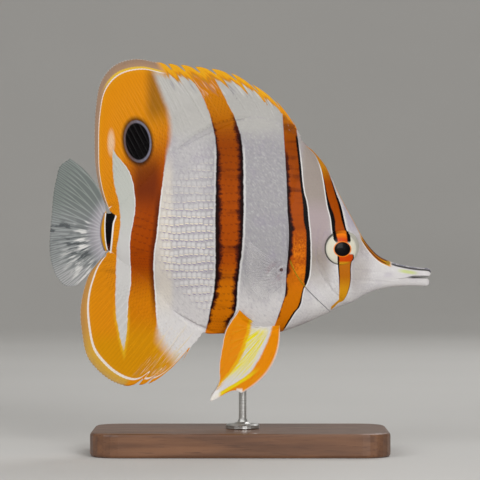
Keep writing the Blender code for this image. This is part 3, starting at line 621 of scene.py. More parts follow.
class Paint:
    """A material's node tree, with the places on the fish that its patterns are drawn from."""

    def __init__(self, name):
        self.material = bpy.data.materials.new(name)
        self.material.use_nodes = True
        self.tree = self.material.node_tree
        self.shader = self.tree.nodes["Principled BSDF"]
        place = self.node("ShaderNodeTexCoord", output="Object")
        self.place = self.node("ShaderNodeVectorMath", {"operation": "SCALE"}, {0: place, "Scale": 1 / MM})
        self.x = self.node("ShaderNodeSeparateXYZ", inputs={0: self.place}, output="X")
        self.z = self.node("ShaderNodeSeparateXYZ", inputs={0: self.place}, output="Z")

    def node(self, kind, settings=None, inputs=None, output=0):
        """Adds a node: its settings first, then a value or a link for each input, and gives one output."""
        made = self.tree.nodes.new(kind)
        for label, setting in (settings or {}).items():
            if label == "points":
                line = made.mapping.curves[0].points
                while len(line) < len(setting):
                    line.new(0.5, 0.5)
                for point, location in zip(line, setting):
                    point.location = location
                made.mapping.update()
            else:
                setattr(made, label, setting)
        for label, value in (inputs or {}).items():
            if isinstance(value, Value):
                self.tree.links.new(value.socket, made.inputs[label])
            else:
                made.inputs[label].default_value = value
        return Value(self, made.outputs[output])

    def attribute(self, label):
        return self.node("ShaderNodeAttribute", {"attribute_name": label}, output="Fac")

    def along(self, keys, place):
        """A value that follows (place, value) keys."""
        places = [key[0] for key in keys]
        values = [key[1] for key in keys]
        low, high = min(values), max(values)
        start, run = places[0], places[-1] - places[0]
        points = [((at - start) / run, (value - low) / (high - low)) for at, value in keys]
        share = (place - start) / run
        return self.node("ShaderNodeFloatCurve", {"points": points}, {"Value": share}) * (high - low) + low

    def rise(self, value, start, end):
        """0 below start and 1 above end, or the other way round where end is the lower one."""
        flip = end < start
        inputs = {"Value": value, "From Min": end if flip else start, "From Max": start if flip else end}
        inputs.update({"To Min": 1.0 if flip else 0.0, "To Max": 0.0 if flip else 1.0})
        return self.node("ShaderNodeMapRange", {"interpolation_type": "SMOOTHSTEP"}, inputs)

    def larger(self, first, second):
        return self.node("ShaderNodeMath", {"operation": "MAXIMUM"}, {0: first, 1: second})

    def between(self, value, start, end, soft=0.2):
        return self.rise(value, start - soft, start + soft) * self.rise(value, end + soft, end - soft)

    def noise(self, scale, detail=2.0, stretch=None, turn=0.0):
        """Noise around 0 on the place in millimetres, stretched and turned in side view where asked."""
        place = self.place
        if stretch:
            inputs = {"Vector": place, "Rotation": (0.0, turn, 0.0), "Scale": stretch}
            place = self.node("ShaderNodeMapping", {"vector_type": "TEXTURE"}, inputs)
        inputs = {"Vector": place, "Scale": scale, "Detail": detail}
        return self.node("ShaderNodeTexNoise", inputs=inputs, output="Fac") - 0.5

    def fan_noise(self, across, along):
        """Streaks around 0 that run with a fin's rays."""
        inputs = {"X": self.attribute("place") * across, "Y": self.attribute("root") * along}
        place = self.node("ShaderNodeCombineXYZ", inputs=inputs)
        inputs = {"Vector": place, "Scale": 1.0, "Detail": 2.0}
        return self.node("ShaderNodeTexNoise", inputs=inputs, output="Fac") - 0.5

    def mix(self, under, over, share):
        """One colour laid over another."""
        inputs = {"Factor": share, 6: under, 7: over}
        return self.node("ShaderNodeMix", {"data_type": "RGBA", "clamp_factor": True}, inputs, 2)

    def lay(self, color, *layers):
        """Named colours laid over a colour one after another, each name followed by its share."""
        for name, share in zip(layers[::2], layers[1::2]):
            color = self.mix(color, tint(name), share)
        return color

    def bumped(self, height, distance, strength=1.0):
        """Links a height in millimetres to the shader's normal."""
        inputs = {"Height": height, "Distance": distance * MM, "Strength": strength}
        made = self.node("ShaderNodeBump", inputs=inputs)
        self.tree.links.new(made.socket, self.shader.inputs["Normal"])

    def finish(self, **inputs):
        """Sets or links the shader's inputs, named with underscores for spaces."""
        for label, value in inputs.items():
            socket = self.shader.inputs[label.replace("_", " ")]
            if isinstance(value, Value):
                self.tree.links.new(value.socket, socket)
            else:
                socket.default_value = value
        return self.material


def band(p, x, keys_rear, keys_front, soft=0.25):
    """How far a place is inside a band: its mask, and the distances to its rear and front edge."""
    behind = x - p.along(keys_rear, p.z)
    ahead = p.along(keys_front, p.z) - x
    return p.rise(behind, -soft, soft) * p.rise(ahead, -soft, soft), behind, ahead


def dark_edge(p, behind, ahead, keys_rear, keys_front, ragged, soft=0.3):
    """The black inside a band's two edges, ragged on its inner side."""
    rear = p.along(keys_rear, p.z) + ragged
    front = p.along(keys_front, p.z) + ragged
    return p.rise(rear - behind, -soft, soft), p.rise(front - ahead, -soft, soft)


def ground(p):
    """The silvery ground colour, with the tints of each region."""
    x, z = p.x, p.z
    patch = p.noise(0.12, 3.0)
    color = p.mix(
        tint("white"), tint("flank"), p.rise(z + patch * 14.0, 60.0, 80.0) * p.rise(x, 30.0, 22.0) * 0.95
    )
    color = p.lay(
        color,
        "white", p.rise(x, -8.0, -18.0) * 0.45,
        "lilac", p.rise(patch, 0.0, 0.35) * 0.3,
    )
    speck = p.noise(1.5, 3.0, (2.4, 1.0, 1.0), math.radians(50.0))
    color = p.lay(
        color,
        "ring", p.rise(speck, 0.0, 0.25) * p.rise(x, 56.0, 46.0) * 0.22,
        "line", p.rise(speck, 0.0, -0.25) * 0.22,
    )
    nape = p.between(x, 25.0, 38.0, 3.0) * p.rise(z + patch * 10.0, 66.0, 82.0)
    color = p.lay(
        color,
        "nape", nape * 0.9,
        "mauve", nape * p.between(z, 86.0, 104.0, 5.0) * 0.6,
        "field", p.rise(z, 128.0, 138.0) * p.rise(x, 30.0, 10.0) * 0.7,
        "cream", p.between(x, -36.0, -28.5, 1.5) * p.between(z, 60.0, 122.0, 8.0) * 0.45,
    )
    cheek = p.rise(x, 45.0, 47.5) * p.rise(x + patch * 12.0, 57.0, 48.0) * p.between(
        z + patch * 12.0, 69.0, 90.0, 5.0
    )
    color = p.lay(
        color,
        "nape", cheek * 0.5,
        # painted light: the lower head and throat lightened, as if lit from below
        "line", p.rise(z, 74.0, 62.0) * p.rise(x, 27.0, 33.0) * 0.45,
        "line", p.rise(z, 64.0, 52.0) * p.rise(x, -10.0, -18.0) * 0.35,
        "lilac", p.between(x, 60.3, 63.8, 1.0) * p.between(z, 73.6, 75.4, 0.6) * 0.2,
    )
    tilted = z + (x - GREEN_X) * GREEN_FALL - GREEN_Z
    color = p.lay(color, "green", p.between(x, 67.0, 73.6, 2.0) * p.between(tilted, -0.7, 0.7, 0.45) * 0.75)
    from_x, from_z = x - AXIL_X, z - AXIL_Z
    axil = p.rise((from_x + 2.0) * (from_x + 2.0) + (from_z + 1.5) * (from_z + 1.5), 30.0, 2.0)
    streak = p.noise(0.9, 2.0, (4.0, 1.0, 1.0), math.radians(-42.0))
    color = p.lay(
        color,
        "blush", axil * p.rise(streak, -0.05, 0.2) * 0.6,
        "line", axil * p.rise(streak, -0.05, -0.2) * 0.5,
    )
    return p.lay(color, "maroon", p.rise(from_x * from_x + from_z * from_z, 0.9, 0.2) * 0.85)


def markings(p, color, rows=0.0):
    """The bands, wedge, false eye and tail stalk's bar over a ground colour, the bands darker by rows in
    painted shade.
    """
    z = p.z
    wander = p.noise(0.55, 3.0)
    x = p.x + wander * 0.7
    ragged = p.noise(1.3, 3.0) * 1.3
    streaks = p.noise(0.35, 2.0, (7.0, 1.0, 1.0))
    orange = p.lay(
        tint("orange_low"),
        "orange_middle", p.rise(z, 66.0, 82.0),
        "orange_high", p.rise(z, 100.0, 130.0),
        "orange_top", p.rise(z, 128.0, 150.0) * 0.7,
    )

    # The third band, counted from the head.
    inside, behind, ahead = band(p, x, BAND_THREE_REAR, BAND_THREE_FRONT)
    torn = ragged * 1.2 + streaks * 3.5 + rows * 2.0
    rear, front = dark_edge(p, behind, ahead, BLACK_THREE_REAR, BLACK_THREE_FRONT, torn + 0.6, 0.9)
    third = p.lay(
        orange,
        "maroon", p.rise(streaks, -0.02, 0.25) * p.between(z, 58.0, 130.0, 8.0) * 0.55,
        # painted shade along the lower edge of each scale row
        "maroon", rows,
        "maroon", p.larger(rear, front) * p.between(z, 53.0, 141.0, 2.0),
    )
    core = p.rise(behind - p.along(BLACK_THREE_REAR, z) * 0.75 - torn * 0.5, 0.4, -0.4)
    core = p.larger(core, p.rise(ahead - p.along(BLACK_THREE_FRONT, z) * 0.75 - torn * 0.5, 0.4, -0.4))
    third = p.lay(third, "black", core * p.between(z, 54.0, 134.0, 3.0) * 0.85)
    outline = p.larger(p.between(ahead, -0.9, 0.0, 0.3), p.between(behind, -0.8, 0.0, 0.3) * 0.6)
    color = p.lay(color, "line", outline * p.between(z, 56.0, 128.0, 5.0) * 0.6)
    color = p.mix(color, third, inside)

    # The second band, with its broad black front edge and the white line outside it.
    inside, behind, ahead = band(p, p.x + wander * 0.25, BAND_TWO_REAR, BAND_TWO_FRONT, 0.15)
    color = p.lay(color, "line", p.between(ahead, -0.5, 0.0, 0.15) * p.rise(z, 132.0, 122.0) * 0.85)
    rear = p.along(BLACK_TWO_REAR, z) * 1.7 + ragged * 0.8 + streaks * 3.0 - behind
    front = dark_edge(p, behind, ahead, BLACK_TWO_REAR, BLACK_TWO_FRONT, ragged * 0.35)[1]
    second = p.lay(orange, "maroon", p.rise(streaks, -0.02, 0.2) * p.rise(z, 90.0, 104.0) * 0.5)
    glow = p.between(z, 71.0, 91.0, 4.0) * p.between(p.x, 21.8, 27.6, 0.8) * p.rise(
        ragged + streaks, -0.35, 0.3
    )
    second = p.lay(
        second,
        "orange_bright", glow * 0.75,
        # painted shade along the lower edge of each scale row
        "maroon", rows,
        "maroon", p.rise(rear, -0.6, 0.4) * p.between(z, 56.0, 126.0, 3.0),
        "black", p.rise(rear, 0.3, 0.8) * p.between(z, 58.0, 118.0, 5.0) * 0.8,
        "black", front * p.between(z, 52.0, 133.0, 1.0),
    )
    color = p.mix(color, second, inside)

    # The band through the eye.
    inside, behind, ahead = band(p, p.x + wander * 0.15, EYE_BAND_REAR, EYE_BAND_FRONT, 0.12)
    outline = p.between(behind, -0.5, -0.05, 0.12) * p.between(z, 76.0, 122.0, 4.0) * 0.85
    outline = p.larger(outline, p.between(ahead, -0.4, -0.05, 0.12) * p.between(z, 88.0, 108.0, 2.0) * 0.6)
    color = p.lay(color, "line", outline)
    rear, front = dark_edge(p, behind, ahead, EYE_BLACK_REAR, EYE_BLACK_FRONT, ragged * 0.2)
    first = p.mix(tint("gold"), orange, p.rise(z, 80.0, 84.0))
    first = p.lay(
        first,
        "gold", p.rise(z, 112.0, 121.0) * 0.6,
        "orange_middle", p.between(z, 71.0, 84.0, 4.0) * 0.7,
        "black", p.larger(rear, front) * p.rise(z, 118.0, 112.0),
    )
    color = p.mix(color, first, inside)
    spur = p.between(z - (x - 41.2) * 0.94, 62.9, 64.3, 0.3) * p.between(p.x, 38.0, 42.0, 0.3)
    color = p.lay(color, "gold", spur)
    return rear_markings(p, color, x, streaks, rows)


def stalk_end(p):
    """How far in front of the tail stalk's rounded end a place is."""
    upward = (p.z - BODY_MIDDLE_Z) / TAIL_ROOT_HALF_HEIGHT
    return p.x - TAIL_ROOT_X - upward * upward * TAIL_ROOT_CURVE


def rear_markings(p, color, x, streaks, rows):
    """The broad rear band with the wedge, the false eye and the tail stalk's bar."""
    z = p.z
    ahead = p.along(REAR_ORANGE_FRONT, z) - x
    plain_ahead = p.along(REAR_ORANGE_FRONT, z) - p.x
    soft = p.rise(z, 56.0, 44.0) * 4.2 + p.rise(z, 118.0, 132.0) * 1.5 + 0.2
    inside = p.rise(ahead / soft, -1.0, 1.0)
    orange = p.lay(
        tint("anal_orange"),
        "orange_low", p.rise(z, 46.0, 60.0) * 0.7,
        "rear_brown", p.rise(z, 62.0, 80.0),
        "fin_orange", p.rise(z + (p.x + 43.0) * -0.55, 108.0, 138.0),
        "orange_middle", p.between(z, 84.0, 106.0, 6.0) * p.between(p.x, -47.0, -40.0, 3.0) * 0.5,
        "fin_orange", p.rise(p.x, -47.5, -50.5) * p.rise(z, 44.0, 54.0) * 0.9,
        "maroon", p.rise(streaks, 0.04, 0.3) * p.between(z, 66.0, 112.0, 6.0) * 0.3,
    )
    under_eye = p.between(z, 104.0, 124.0, 7.0) * p.between(p.x, -44.5, -34.0, 2.5)
    orange = p.lay(
        orange,
        # maroon under the false eye, and painted shade along the scale rows
        "maroon", p.larger(under_eye * 0.6, p.rise(z, 60.0, 70.0) * rows),
        "haze", p.between(p.x, -39.0, -30.0, 2.5) * p.rise(z, 134.0, 146.0) * 0.8,
    )
    brown = p.rise(ahead, 2.6, 0.4) * p.between(z, 60.0, 108.0, 8.0)
    orange = p.lay(orange, "maroon", brown * 0.75)
    color = p.lay(
        color, "line", p.between(plain_ahead, -0.6, 0.0, 0.15) * p.between(z, 58.0, 112.0, 6.0) * 0.85
    )
    color = p.mix(color, orange, inside)

    # The white wedge between the rear band and the body's rear end.
    ahead = p.along(WEDGE_FRONT, z) - x
    behind = x - p.along(WEDGE_REAR, z)
    wedge = p.rise(ahead, -0.2, 0.2) * p.rise(behind, -0.25, 0.25) * p.between(z, 42.0, 127.5, 0.4)
    pale = p.lay(tint("wedge"), "white", p.rise(z, 106.0, 84.0) * 0.7)
    fringe = p.rise(ahead, -1.6, 0.0) * p.rise(
        behind, -1.6, 0.0
    ) * p.rise(z, 66.0, 52.0) * p.rise(z, 37.0, 40.0)
    color = p.lay(color, "yellow", fringe * 0.6)
    color = p.mix(color, pale, wedge * p.rise(z, 41.0, 47.0))
    color = p.lay(
        color, "line", p.between(ahead, -0.1, 0.35, 0.12) * wedge * p.between(z, 56.0, 124.0, 4.0) * 0.8
    )
    above = (p.x + 54.2) * (p.x + 54.2) * 0.25 + (z - 130.0) * (z - 130.0) * 0.02
    color = p.lay(color, "cream", p.rise(above, 1.0, 0.0) * (1 - wedge) * inside * 0.5)

    # The tail stalk: gold root of the tail, black bar between white lines.
    on_stalk = p.between(z, 83.9, 103.2, 0.5)
    behind = p.x - p.along(BAR_REAR, z)
    ahead = p.along(BAR_FRONT, z) - p.x
    from_root = stalk_end(p)
    color = p.lay(
        color,
        "mauve", p.rise(from_root, 0.8, 0.3) * on_stalk,
        "gold", p.between(from_root, 0.5, 2.2, 0.3) * p.rise(behind, 0.0, -0.3) * on_stalk,
        "line", p.between(behind, -0.5, 0.0, 0.12) * on_stalk,
    )
    below_end = p.rise(z + (p.x + 55.5) * 0.66, 102.0, 101.3)
    color = p.lay(color, "line", p.between(ahead, -0.7, 0.0, 0.12) * on_stalk * below_end)
    bar = p.rise(behind, -0.1, 0.1) * p.rise(ahead, -0.1, 0.1) * on_stalk * below_end
    color = p.lay(
        color,
        "maroon", bar,
        "black", bar * p.rise(z, 86.0, 88.5),
    )

    # The false eye: black, with a thin grey ring and a soft dark border.
    across = (p.x - FALSE_EYE_X) * math.cos(FALSE_EYE_TILT) + (z - FALSE_EYE_Z) * math.sin(FALSE_EYE_TILT)
    upward = (z - FALSE_EYE_Z) * math.cos(FALSE_EYE_TILT) - (p.x - FALSE_EYE_X) * math.sin(FALSE_EYE_TILT)
    across = across / FALSE_EYE_HALF_LENGTH
    upward = upward / FALSE_EYE_HALF_HEIGHT
    away = p.node("ShaderNodeMath", {"operation": "SQRT"}, {0: across * across + upward * upward})
    color = p.lay(
        color,
        "black", p.rise(away, 1.5, 1.15) * 0.85,
        "ring", p.rise(away, 1.2, 1.12) * (p.rise(across, -0.8, 0.8) * 0.6 + 0.4),
    )
    return p.lay(color, "black", p.rise(away, 1.06, 0.97))


def snout_and_gill(p, color):
    """The gold ridge before the eye, the snout's dark rim, and the line of the gill cover's edge."""
    x, z = p.x, p.z
    along = list(np.arange(38.0, 77.0, 1.5)) + [78.4, 78.9, 79.3, 79.6, 79.85, 80.05]
    below = p.along([(at, float(top_outline(at))) for at in along], x) - z
    forehead = p.rise(x - p.along(EYE_BAND_FRONT, z), 0.3, 1.5) * p.between(z, 93.0, 124.0, 3.0)
    color = p.lay(color, "lilac", forehead * 0.55)
    ridge = p.between(x, 50.5, 63.0, 0.8) * p.between(below, -0.5, 2.1, 0.25)
    color = p.lay(
        color,
        "line", p.between(x, 51.0, 61.0, 1.0) * p.between(below, 2.1, 2.6, 0.2) * 0.9,
        "gold", ridge,
        "orange_middle", ridge * p.between(x, 52.0, 60.0, 2.0) * 0.6,
    )
    lines = p.larger(p.between(below, -0.5, 0.5, 0.2), p.between(below, 1.1, 1.7, 0.25))
    color = p.lay(
        color,
        "maroon", p.between(x, 51.0, 62.0, 0.8) * lines * 0.9,
        "olive", p.rise((x - 62.0) * (x - 62.0) + (z - 79.6) * (z - 79.6), 1.3, 0.3) * 0.9,
        "gold", p.between(x, 40.0, 51.0, 1.0) * p.rise(below, 0.9, 0.2) * 0.7,
    )
    dashes = p.rise(p.noise(0.8, 1.0), -0.05, 0.1)
    rim = p.between(below, 0.3, 1.05, 0.2) * p.rise(x, 62.8, 64.0) * p.rise(z, 74.9, 75.9)
    color = p.lay(
        color,
        "black", rim * 0.9,
        "ring",
        p.rise(below, 0.45, 0.2) * p.rise(x, 63.0, 64.5) * p.rise(z, 75.3, 76.0) * (1 - dashes * 0.7),
    )
    # Painted shade: the lips' inner edges are black along the mouth line, for the dark slit between the jaws.
    gap = abs(z - p.along(MOUTH_LINE, x)) - p.rise(x, 66.3, 73.0) * 0.5
    color = p.lay(color, "black", p.rise(gap, 0.1, -0.02) * p.rise(x, 69.0, 73.0))
    past = x - p.along(GILL_EDGE, z)
    color = p.lay(
        color,
        "gill_line", p.between(past, -0.45, 0.15, 0.15) * p.between(z, 69.5, 80.5, 0.8) * 0.95,
        "ring", p.between(past, -0.25, 0.1, 0.12) * p.between(z, 58.0, 69.5, 0.8) * 0.6,
    )
    socket = (x - EYE_X) * (x - EYE_X) + (z - EYE_Z) * (z - EYE_Z)
    return p.lay(color, "ring", p.between(socket, 40.0, 46.5, 2.0) * 0.45)


def skin_paint():
    """The skin itself: the fish's markings, with a fine grain of scales behind the snout, its cells' edges in
    painted lilac shade.
    """
    p = Paint("skin")
    grain = p.node(
        "ShaderNodeTexVoronoi", {"feature": "DISTANCE_TO_EDGE"}, {"Vector": p.place, "Scale": 1.5},
        "Distance",
    )
    on_snout = p.rise(p.x, 54.0, 60.0)
    # Painted shade: the edges of the grain's cells, laid in lilac.
    edges = p.rise(grain, 0.25, 0.0) * (1 - on_snout)
    color = snout_and_gill(p, markings(p, p.lay(ground(p), "lilac", edges * 0.22)))
    p.bumped(p.rise(grain, 0.0, 0.3) * (1 - on_snout), 0.12, 0.5)
    return p.finish(Base_Color=color, Roughness=p.noise(0.6, 3.0) * 0.2 + 0.42, Specular_IOR_Level=0.05)


def scale_paint():
    """The scales: the same markings, with painted lilac shade in the gaps between their rows and round their
    rims, a painted cream highlight over each gap, and painted light on each scale's free part.
    """
    p = Paint("scales")
    x, z = p.x, p.z
    level = p.attribute("level")
    shade = p.attribute("shade")
    # The painted shade and painted highlights of the rows show between the third band and the rear band, most
    # at mid height.
    rows = p.between(x, -33.0, -10.5, 2.0) * p.rise(p.attribute("stand"), 0.24, 0.38)
    rows = rows * (p.between(z + p.noise(0.1) * 16.0, 64.0, 102.0, 6.0) * 0.65 + 0.3) + 0.03
    color = p.lay(
        ground(p),
        # painted light on each scale's free part, painted lilac shade round its rim, a painted cream highlight
        # above the gap and painted lilac shade in the gap at each row's lower edge
        "line", p.between(level, -0.3, 0.5, 0.2) * p.rise(shade, 0.2, 0.6) * rows * 0.5,
        "lilac", p.rise(p.attribute("rim"), 0.75, 0.98) * rows * 0.3,
        "cream", p.between(level, -0.74, -0.44, 0.08) * rows * (1 - p.rise(z, 104.0, 60.0) * 0.4),
        "lilac", p.rise(level, -0.66, -0.84) * rows,
    )
    # Painted shade: inside the bands, each scale's lower edge is darkened with maroon.
    color = snout_and_gill(p, markings(p, color, p.rise(level, -0.45, -0.85) * p.rise(x, 14.0, 8.0) * 0.3))
    p.bumped(p.noise(1.3, 3.0, (2.2, 1.0, 1.0), math.radians(50.0)), 0.14, 0.7)
    return p.finish(Base_Color=color, Roughness=shade * 0.12 + 0.36, Specular_IOR_Level=0.05)


def banded_fin_paint():
    """The dorsal and anal fins: the body's markings, a pale line inside the edge and a thin clear margin."""
    p = Paint("banded_fin")
    x, z = p.x, p.z
    ray, margin, inside, spiny = [p.attribute(label) for label in ("ray", "margin", "inside", "spiny")]
    color = markings(p, ground(p))
    color = p.lay(
        color,
        "gold", p.rise(inside, 3.5, 0.6) * (1 - spiny) * 0.35,
        "black", p.rise(ray, 0.35, 0.0) * p.rise(x, -28.0, -40.0) * 0.07,
    )
    # Between the spines: grey streaks below orange tips.
    streak = p.fan_noise(90.0, 0.1)
    color = p.lay(
        color,
        "ring", spiny * p.rise(streak, 0.02, 0.2) * p.between(margin, 6.0, 14.0, 3.0) * 0.5,
        "line", spiny * p.rise(streak, -0.02, -0.2) * p.between(margin, 6.0, 16.0, 3.0) * 0.35,
    )
    tips = streak * 9.0 + 6.8 - margin
    dorsal = spiny * p.rise(z, 80.0, 120.0)
    color = p.lay(
        color,
        "fin_orange", dorsal * p.rise(tips, -1.2, 1.0),
        "olive", dorsal * p.rise(tips, -1.0, 0.6) * p.rise(tips, 2.0, 0.6) * 0.5,
        "yellow", dorsal * p.rise(tips, 1.0, 3.5) * p.rise(z, 140.0, 150.0) * 0.4,
    )
    soft = 1 - dorsal
    outside = p.rise(inside, 0.05, -0.15) * soft
    color = p.lay(
        color,
        "rim", outside,
        "gold", outside * p.rise(z, 88.0, 76.0) * 0.6,
        "yellow", outside * p.rise(z, 56.0, 40.0) * 0.4,
        "yellow", outside * p.rise(inside, -1.4, -0.9) * p.rise(z, 150.0, 158.0) * 0.8,
    )
    width = p.rise(z, 90.0, 80.0) * 0.65 + 0.35
    color = p.lay(
        color,
        "line", p.rise(inside, -0.25, 0.05) * p.rise(inside - width, 0.15, -0.15) * soft * 0.85,
        "line", p.rise(margin, 0.35, 0.1) * soft * 0.5,
        "fin_orange", outside * spiny,
    )
    front = p.between(x, -36.0, -21.0, 3.0) * p.rise(z, 58.0, 47.0) * p.rise(z, 28.0, 33.0)
    color = p.lay(color, "yellow", front * p.rise(streak, -0.05, 0.15) * 0.3)
    p.bumped(p.noise(0.9, 3.0), 0.05, 0.4)
    clear = outside * (1 - spiny) * p.rise(margin, 4.0, 0.0) * 0.35
    return p.finish(Base_Color=color, Roughness=0.42 - ray * 0.08, Alpha=1 - clear, Specular_IOR_Level=0.04)


def pelvic_paint():
    """The pelvic fins: an orange leading band and rear web, and a white middle with yellow rays."""
    p = Paint("pelvic_fin")
    ray, margin = p.attribute("ray"), p.attribute("margin")
    x = p.x + p.noise(0.5, 2.0) * 0.8
    behind = x - p.along(PELVIC_WHITE_REAR, p.z)
    ahead = p.along(PELVIC_WHITE_FRONT, p.z) - x
    streak = p.noise(0.8, 2.0, (1.0, 1.0, 6.0), math.radians(28.0))
    orange = p.lay(
        tint("pelvic_orange"),
        "orange_low", p.rise(streak, 0.0, 0.3) * 0.5,
        "gold", p.rise(ray, 0.3, 0.9) * 0.5,
    )
    fan = p.fan_noise(60.0, 0.05)
    lemon = p.larger(p.rise(ray, 0.3, 0.8) * 0.6, p.rise(fan, -0.05, 0.03)) * p.rise(p.z, 53.5, 50.0)
    white = p.lay(tint("white"), "lemon", lemon * p.rise(p.z, 28.0, 37.0) * p.rise(ahead, 0.5, 2.5))
    inside = p.rise(behind + fan * 3.0, -0.4, 0.6) * p.rise(ahead, -0.4, 0.6)
    orange = p.lay(
        orange,
        "lemon", p.rise(p.z, 37.0, 31.0) * p.between(ahead, -2.6, 0.3, 0.8) * 0.8,
        "lemon", p.between(behind, -1.4, 0.5, 0.5) * p.rise(ahead, 0.0, 1.5) * 0.35,
    )
    color = p.mix(orange, white, inside)
    tip = p.larger(
        p.rise(p.x, -7.5, -9.5) * p.rise(p.z, 27.5, 26.0),
        p.between(p.x, -1.6, 0.9, 0.4) * p.rise(p.z, 27.8, 26.6),
    )
    color = p.lay(
        color,
        "line", tip * 0.9,
        "line", p.rise(margin, 0.45, 0.15) * 0.7,
        "line", p.attribute("leading") * 0.8,
    )
    p.bumped(p.noise(0.9, 3.0), 0.05, 0.4)
    return p.finish(Base_Color=color, Roughness=0.42, Specular_IOR_Level=0.04)


def clear_fin_paint(name, color_web, web_alpha, ray_alpha, root_alpha):
    """The tail and pectoral fins: a thin grey web, partly see-through, between paler rays."""
    p = Paint(name)
    ray, root = p.attribute("ray"), p.attribute("root")
    fan = p.fan_noise(30.0, 0.16)
    color = p.lay(tint(color_web), "tail_green", p.rise(p.z, 94.0, 108.0) * 0.7)
    color = p.lay(
        color,
        "white", p.rise(p.z, 82.0, 73.0) * 0.4,
        "tail_dark", p.rise(ray, 0.45, 0.05) * 0.25,
        "line", p.rise(ray, 0.6, 1.0) * 0.15,
    )
    low, middle = p.rise(p.z, 88.0, 82.0), p.between(p.z, 84.0, 98.0, 2.0)
    fan = fan * p.rise(p.x, -40.0, -50.0)
    dark = p.between(root, 13.0, 24.0, 2.0) * p.between(p.z, 91.0, 97.0, 1.5)
    dark = p.larger(dark, p.between(root, 7.0, 17.0, 2.0) * p.between(p.z, 79.0, 91.0, 3.0))
    color = p.lay(color, "tail_dark", p.rise(fan, 0.0, 0.1) * p.larger(dark, middle * 0.4) * 0.9)
    bright = p.larger(p.between(root, 6.0, 12.0, 1.5) * middle, p.between(root, 7.0, 19.0, 3.0) * low * 0.7)
    color = p.lay(
        color,
        "line", p.rise(fan, 0.0, -0.12) * bright,
        "white", p.rise(root, 7.5, 3.0) * 0.5,
        "lilac", p.rise(root, 9.0, 3.0) * 0.3,
        "gold", p.between(stalk_end(p), 0.5, 2.2, 0.3) * p.between(p.z, 83.9, 103.2, 0.5),
    )
    from_x, from_z = p.x - AXIL_X, p.z - AXIL_Z
    color = p.lay(color, "maroon", p.rise(from_x * from_x + from_z * from_z, 0.9, 0.2))
    alpha = ray * (ray_alpha - web_alpha) + web_alpha + p.rise(root, 5.0, 0.0) * (root_alpha - web_alpha)
    p.bumped(p.noise(0.9, 3.0), 0.05, 0.4)
    return p.finish(Base_Color=color, Roughness=0.4, Alpha=alpha, Specular_IOR_Level=0.15)


# Rays of each median fin as (x of the root, x of the tip, z of the tip, forward bow), front to rear.
SPINY_DORSAL_RAYS = [
    (25.6, 21.9, 139.7, 0.8), (20.8, 14.7, 147.9, 2.4), (15.4, 4.9, 154.7, 2.8),
    (9.8, -3.9, 159.3, 2.8), (4.0, -12.1, 161.2, 2.6), (-1.8, -19.0, 162.1, 2.4),
    (-7.6, -25.1, 162.8, 2.2), (-13.4, -30.3, 163.3, 2.0), (-19.2, -35.0, 163.9, 1.8),
]
SOFT_DORSAL_RAYS = [
    (-25.0, -43.8, 165.4, 1.6), (-31.0, -53.0, 162.7, 1.4), (-36.5, -58.5, 156.0, 1.2),
    (-42.0, -60.7, 145.5, 1.0), (-46.5, -61.3, 131.2, 0.8), (-50.0, -60.6, 117.8, 0.4),
    (-51.6, -58.7, 109.4, 0.2), (-52.6, -56.6, 104.4, 0.0), (-53.2, -54.6, 102.0, 0.0),
]
ANAL_RAYS = [
    (-15.2, -24.3, 38.3, -0.6), (-18.2, -38.7, 28.8, 1.2), (-21.8, -42.6, 28.4, 1.6),
    (-25.6, -48.8, 28.0, 1.8), (-29.4, -54.3, 30.0, 1.8), (-34.0, -60.2, 34.6, 1.6),
    (-38.5, -64.4, 40.2, 1.4), (-43.0, -66.4, 48.7, 1.2), (-47.0, -67.2, 59.8, 0.8),
    (-50.0, -65.4, 69.5, 0.4), (-51.8, -62.9, 75.8, 0.0), (-52.8, -58.9, 80.8, 0.0),
    (-53.4, -55.0, 83.2, 0.0),
]
NOTCH_SHAPE = [(0.0, 0.0), (0.07, 1.0), (0.19, 0.8), (0.32, 0.25), (0.5, 0.06), (1.0, 0.0)]
DORSAL_NOTCHES = [0.3, 0.28, 0.24, 0.18, 0.14, 0.13, 0.12, 0.1]
ANAL_NOTCHES = [0.34, 0.16, 0.1]
SOFT_DORSAL_RAY_COUNT = 29
SOFT_ANAL_RAY_COUNT = 20
TAIL_RAYS = [  # (z of the root, x of the tip, z of the tip, bow)
    (100.2, -71.6, 123.4, 6.4), (99.0, -75.5, 120.5, 4.4), (96.8, -77.3, 115.0, 2.4),
    (94.8, -78.6, 108.1, 1.0),
    (93.2, -79.3, 99.7, 0.3), (91.6, -80.0, 90.5, 0.0), (89.8, -79.8, 82.0, 0.0), (88.0, -78.6, 77.0, 0.4),
    (86.6, -76.3, 72.4, 0.8), (85.7, -73.4, 69.9, 1.2), (85.0, -69.0, 69.9, 1.4),
]
TAIL_RAY_COUNT = 17
TAIL_WAVE = 0.8
TAIL_WAVE_RUN = 20.0
TAIL_WAVE_LENGTH = 7.0
PELVIC_RAYS = [  # (x, z of the root, x, z of the tip, bow)
    (16.4, 54.6, 0.4, 25.4, 11.5), (15.0, 54.4, -2.4, 26.4, 9.0), (13.6, 54.1, -12.7, 22.3, 5.5),
    (12.4, 53.8, -9.0, 29.5, 3.0), (11.2, 53.5, -8.8, 37.0, 1.5), (10.3, 53.3, -7.7, 44.0, 0.8),
    (9.5, 53.1, -6.2, 51.0, 0.0), (8.7, 52.9, -0.5, 60.2, -1.0),
]
PELVIC_RAY_COUNT = 7
PELVIC_MIDDLE = (11.5, 54.0)
PELVIC_OUT = 4.9
PELVIC_SPLAY = 0.15
PELVIC_CLEAR = 0.95
PECTORAL_RAYS = [
    (18.0, 79.6, 3.6, 89.0, -1.6), (17.9, 77.0, 2.4, 83.6, -0.6), (17.8, 74.6, 2.6, 76.0, 0.0),
    (17.6, 72.8, 4.3, 69.4, 0.5), (17.4, 71.0, 9.1, 64.2, 1.0),
]
